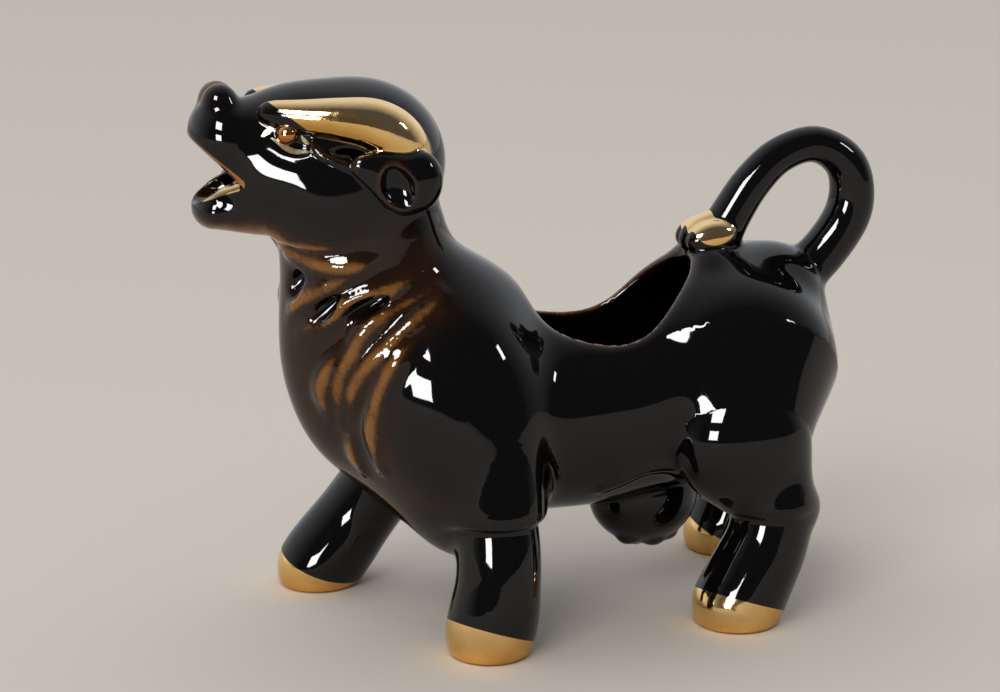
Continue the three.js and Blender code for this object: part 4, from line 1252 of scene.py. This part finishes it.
# Lustre: its colour where it faces down, sideways and upwards, with a painted reflection that is deep orange
# facing down and pale facing upwards
GOLD_TINTS_AND_REFLECTIONS = ((0.6, 0.32, 0.08), (0.83, 0.53, 0.19), (0.95, 0.67, 0.34))
COPPER_TINTS_AND_REFLECTIONS = ((0.4, 0.14, 0.035), (0.62, 0.28, 0.1), (0.8, 0.42, 0.19))
LUSTRE_PLACES = (0.25, 0.5, 0.75)
LUSTRE_REFLECTION_FACING = (0.5, 0.22)
PATCH_SCALE = 90
PATCH_STRENGTH = 0.6
RUBBED_SCALE = 700
LUSTRE_ROUGHNESS = (0.1, 0.04)
LUSTRE_WAVE_SCALE = 330
LUSTRE_WAVE_DETAIL = 2
LUSTRE_WAVE = 0.12
WAVE_HEIGHT = 0.0004


class Nodes:
    """The node tree of a material or a world, with short ways to add and join nodes."""

    def __init__(self, owner):
        owner.use_nodes = True
        self.material = owner
        self.tree = owner.node_tree
        self.shader = self.tree.nodes.get("Principled BSDF")

    def add(self, kind, **values):
        node = self.tree.nodes.new(kind)
        for key, value in values.items():
            if key in node.inputs:
                node.inputs[key].default_value = value
            else:
                setattr(node, key, value)
        return node

    def join(self, start, end):
        self.tree.links.new(start, end)

    def noise(self, scale, detail=3.0):
        place = self.add("ShaderNodeTexCoord")
        node = self.add("ShaderNodeTexNoise", Scale=scale, Detail=detail)
        self.join(place.outputs["Object"], node.inputs["Vector"])
        return node.outputs["Fac"]

    def sums(self, operation, first, second, third=None):
        node = self.add("ShaderNodeMath", operation=operation)
        for socket, value in zip(node.inputs, (first, second, third)):
            if value is None:
                continue
            if isinstance(value, (int, float)):
                socket.default_value = value
            else:
                self.join(value, socket)
        return node.outputs[0]

    def ramp(self, factor, stops):
        node = self.add("ShaderNodeValToRGB")
        elements = node.color_ramp.elements
        while len(elements) < len(stops):
            elements.new(0.5)
        for element, (place, colour) in zip(elements, stops):
            element.position = place
            element.color = (*colour, 1)
        self.join(factor, node.inputs["Fac"])
        return node.outputs["Color"]

    def bump(self, height, strength):
        node = self.add("ShaderNodeBump", Strength=strength, Distance=WAVE_HEIGHT)
        self.join(height, node.inputs["Height"])
        self.join(node.outputs["Normal"], self.shader.inputs["Normal"])

    def set(self, name, value):
        self.shader.inputs[name].default_value = value


def new_material(name):
    return Nodes(bpy.data.materials.new(name))


def glaze_material():
    made = new_material("black_glaze")
    brown = made.add("ShaderNodeAttribute", attribute_name="brown").outputs["Fac"]
    cloud = made.noise(CLOUD_SCALE)
    speck = made.noise(SPECK_SCALE, SPECK_DETAIL)
    factor = made.sums("MULTIPLY_ADD", cloud, CLOUD_STRENGTH, -CLOUD_STRENGTH / 2)
    factor = made.sums("ADD", brown, made.sums("MULTIPLY", factor, brown))
    grain = made.sums("MULTIPLY", made.sums("SUBTRACT", speck, 0.5), brown)
    factor = made.sums("MULTIPLY_ADD", grain, SPECK_STRENGTH, factor)
    made.join(made.ramp(factor, GLAZE_STOPS), made.shader.inputs["Base Color"])
    made.join(made.sums("MULTIPLY_ADD", speck, *GLAZE_ROUGHNESS), made.shader.inputs["Roughness"])
    made.set("IOR", GLAZE_IOR)
    made.bump(made.noise(GLAZE_WAVE_SCALE, GLAZE_WAVE_DETAIL), GLAZE_WAVE)
    return made.material


def enamel_material():
    """Pale gold brushed on thinly, with streaks."""
    made = new_material("pale_gold")
    streak = made.noise(STREAK_SCALE)
    made.join(made.ramp(streak, PALE_GOLD_STOPS), made.shader.inputs["Base Color"])
    made.join(made.sums("MULTIPLY_ADD", streak, *PALE_GOLD_ROUGHNESS), made.shader.inputs["Roughness"])
    made.set("Metallic", PALE_GOLD_METAL)
    return made.material


def lustre_material(name, tints_and_reflections):
    """A thin metal film, deeper in colour in patches, with a painted reflection: deeper and more orange
    where it faces down, paler where it faces upwards.
    """
    made = new_material(name)
    facing = made.add("ShaderNodeSeparateXYZ")
    made.join(made.add("ShaderNodeNewGeometry").outputs["Normal"], facing.inputs["Vector"])
    # Painted reflection: the colour follows how far the surface faces upwards, dark orange below and pale
    # above.
    painted_reflection = made.sums("MULTIPLY_ADD", facing.outputs["Z"], *LUSTRE_REFLECTION_FACING)
    factor = made.sums("ADD", painted_reflection, made.sums("MULTIPLY", made.noise(PATCH_SCALE), PATCH_STRENGTH))
    stops = tuple(zip(LUSTRE_PLACES, tints_and_reflections))
    made.join(made.ramp(factor, stops), made.shader.inputs["Base Color"])
    rubbed = made.sums("MULTIPLY_ADD", made.noise(RUBBED_SCALE), *LUSTRE_ROUGHNESS)
    made.join(rubbed, made.shader.inputs["Roughness"])
    made.set("Metallic", 1.0)
    made.bump(made.noise(LUSTRE_WAVE_SCALE, LUSTRE_WAVE_DETAIL), LUSTRE_WAVE)
    return made.material


materials = {
    GLAZE: glaze_material(),
    GOLD: lustre_material("gold_lustre", GOLD_TINTS_AND_REFLECTIONS),
    CREAM: enamel_material(),
    COPPER: lustre_material("copper_lustre", COPPER_TINTS_AND_REFLECTIONS),
}

for region in (head_skin(), trunk_skin(), tail_skin(), *(leg_skin(leg) for leg in legs)):
    dress(region, materials)


# Floor, light and camera
FLOOR_RADIUS = 6.0
FLOOR_SEGMENTS = 96
FLOOR_COLOUR = (0.68, 0.62, 0.55, 1)
BACKDROP_STOPS = ((0.3, (0.08, 0.08, 0.085)), (0.75, (0.78, 0.8, 0.83)))
# Lamps: azimuth, elevation, distance, size and power. The panels show in the gloss alone.
PANELS = {
    "upper_panel": (-42, 36, 1.1, (0.34, 0.34), 12),
    "lower_panel": (-42, 9, 1.1, (0.3, 0.24), 7.5),
    "side_panel": (62, 30, 1.4, (0.1, 0.22), 2),
}
KEY = (-42, 42, 2.4, (1.2, 1.2), 16)
SKY_STRENGTH = 0.9
SKY_SPREAD = 110


def add_floor():
    bm = bmesh.new()
    bmesh.ops.create_circle(bm, cap_ends=True, segments=FLOOR_SEGMENTS, radius=FLOOR_RADIUS)
    mesh = bpy.data.meshes.new("floor")
    bm.to_mesh(mesh)
    bm.free()
    floor = add_object("floor", mesh)
    made = new_material("pale_floor")
    made.set("Base Color", FLOOR_COLOUR)
    made.set("Roughness", 1.0)
    made.set("Specular IOR Level", 0.0)
    mesh.materials.append(made.material)
    floor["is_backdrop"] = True


def add_world():
    """Pale behind the figure and dark on the camera's side."""
    world = bpy.data.worlds.new("studio")
    bpy.context.scene.world = world
    made = Nodes(world)
    made.tree.nodes.clear()
    place = made.add("ShaderNodeTexCoord")
    split = made.add("ShaderNodeSeparateXYZ")
    made.join(place.outputs["Generated"], split.inputs["Vector"])
    spread = made.add("ShaderNodeMapRange")
    spread.inputs["From Min"].default_value = -1
    made.join(split.outputs["Y"], spread.inputs["Value"])
    lit = made.add("ShaderNodeBackground")
    made.join(made.ramp(spread.outputs["Result"], BACKDROP_STOPS), lit.inputs["Color"])
    out = made.add("ShaderNodeOutputWorld")
    made.join(lit.outputs["Background"], out.inputs["Surface"])


TARGET = Vector((0, 0, 0.06))


def direction(azimuth, elevation):
    """From the figure outwards. Azimuth 0 is in front of its left flank and negative towards the head."""
    a, e = math.radians(azimuth), math.radians(elevation)
    return Vector((math.sin(a) * math.cos(e), -math.cos(a) * math.cos(e), math.sin(e)))


def aim(thing, away):
    """Turns a lamp or a camera to look against a direction."""
    thing.rotation_mode = "QUATERNION"
    thing.rotation_quaternion = away.to_track_quat("Z", "Y")


def add_lamp(name, azimuth, elevation, distance, size, watts, mirrored_only=False):
    """A lamp that shows in the gloss alone, or one that lights without a reflection."""
    data = bpy.data.lights.new(name, "AREA")
    data.shape = "RECTANGLE"
    data.size, data.size_y = size
    data.energy = watts
    lamp = add_object(name, data)
    away = direction(azimuth, elevation)
    lamp.location = TARGET + distance * away
    aim(lamp, away)
    lamp.visible_camera = False
    lamp.visible_diffuse = not mirrored_only
    lamp.visible_glossy = mirrored_only


def add_sky_light(strength, spread):
    """Even soft light from straight above, which only lights and does not show as a reflection."""
    data = bpy.data.lights.new("overhead", "SUN")
    data.energy = strength
    data.angle = math.radians(spread)
    lamp = add_object("overhead", data)
    lamp.visible_glossy = False


CAMERA_PLACE = Vector((-0.17409, -0.56793, 0.2256))
CAMERA_AZIMUTH = -16
CAMERA_ELEVATION = 15
CAMERA_LENS = 90
SENSOR_WIDTH = 36


def add_camera():
    data = bpy.data.cameras.new("camera")
    data.lens = CAMERA_LENS
    data.sensor_width = SENSOR_WIDTH
    camera = add_object("camera", data)
    camera.location = CAMERA_PLACE
    aim(camera, direction(CAMERA_AZIMUTH, CAMERA_ELEVATION))
    bpy.context.scene.camera = camera


add_floor()
add_world()
for panel, values in PANELS.items():
    add_lamp(panel, *values, mirrored_only=True)
add_lamp("key", *KEY)
add_sky_light(SKY_STRENGTH, SKY_SPREAD)
add_camera()
bpy.context.scene.view_settings.view_transform = "Standard"

boxes = {"cad": cad_box, "visual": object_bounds()}
{name: [list(low), list(high)] for name, (low, high) in boxes.items()}
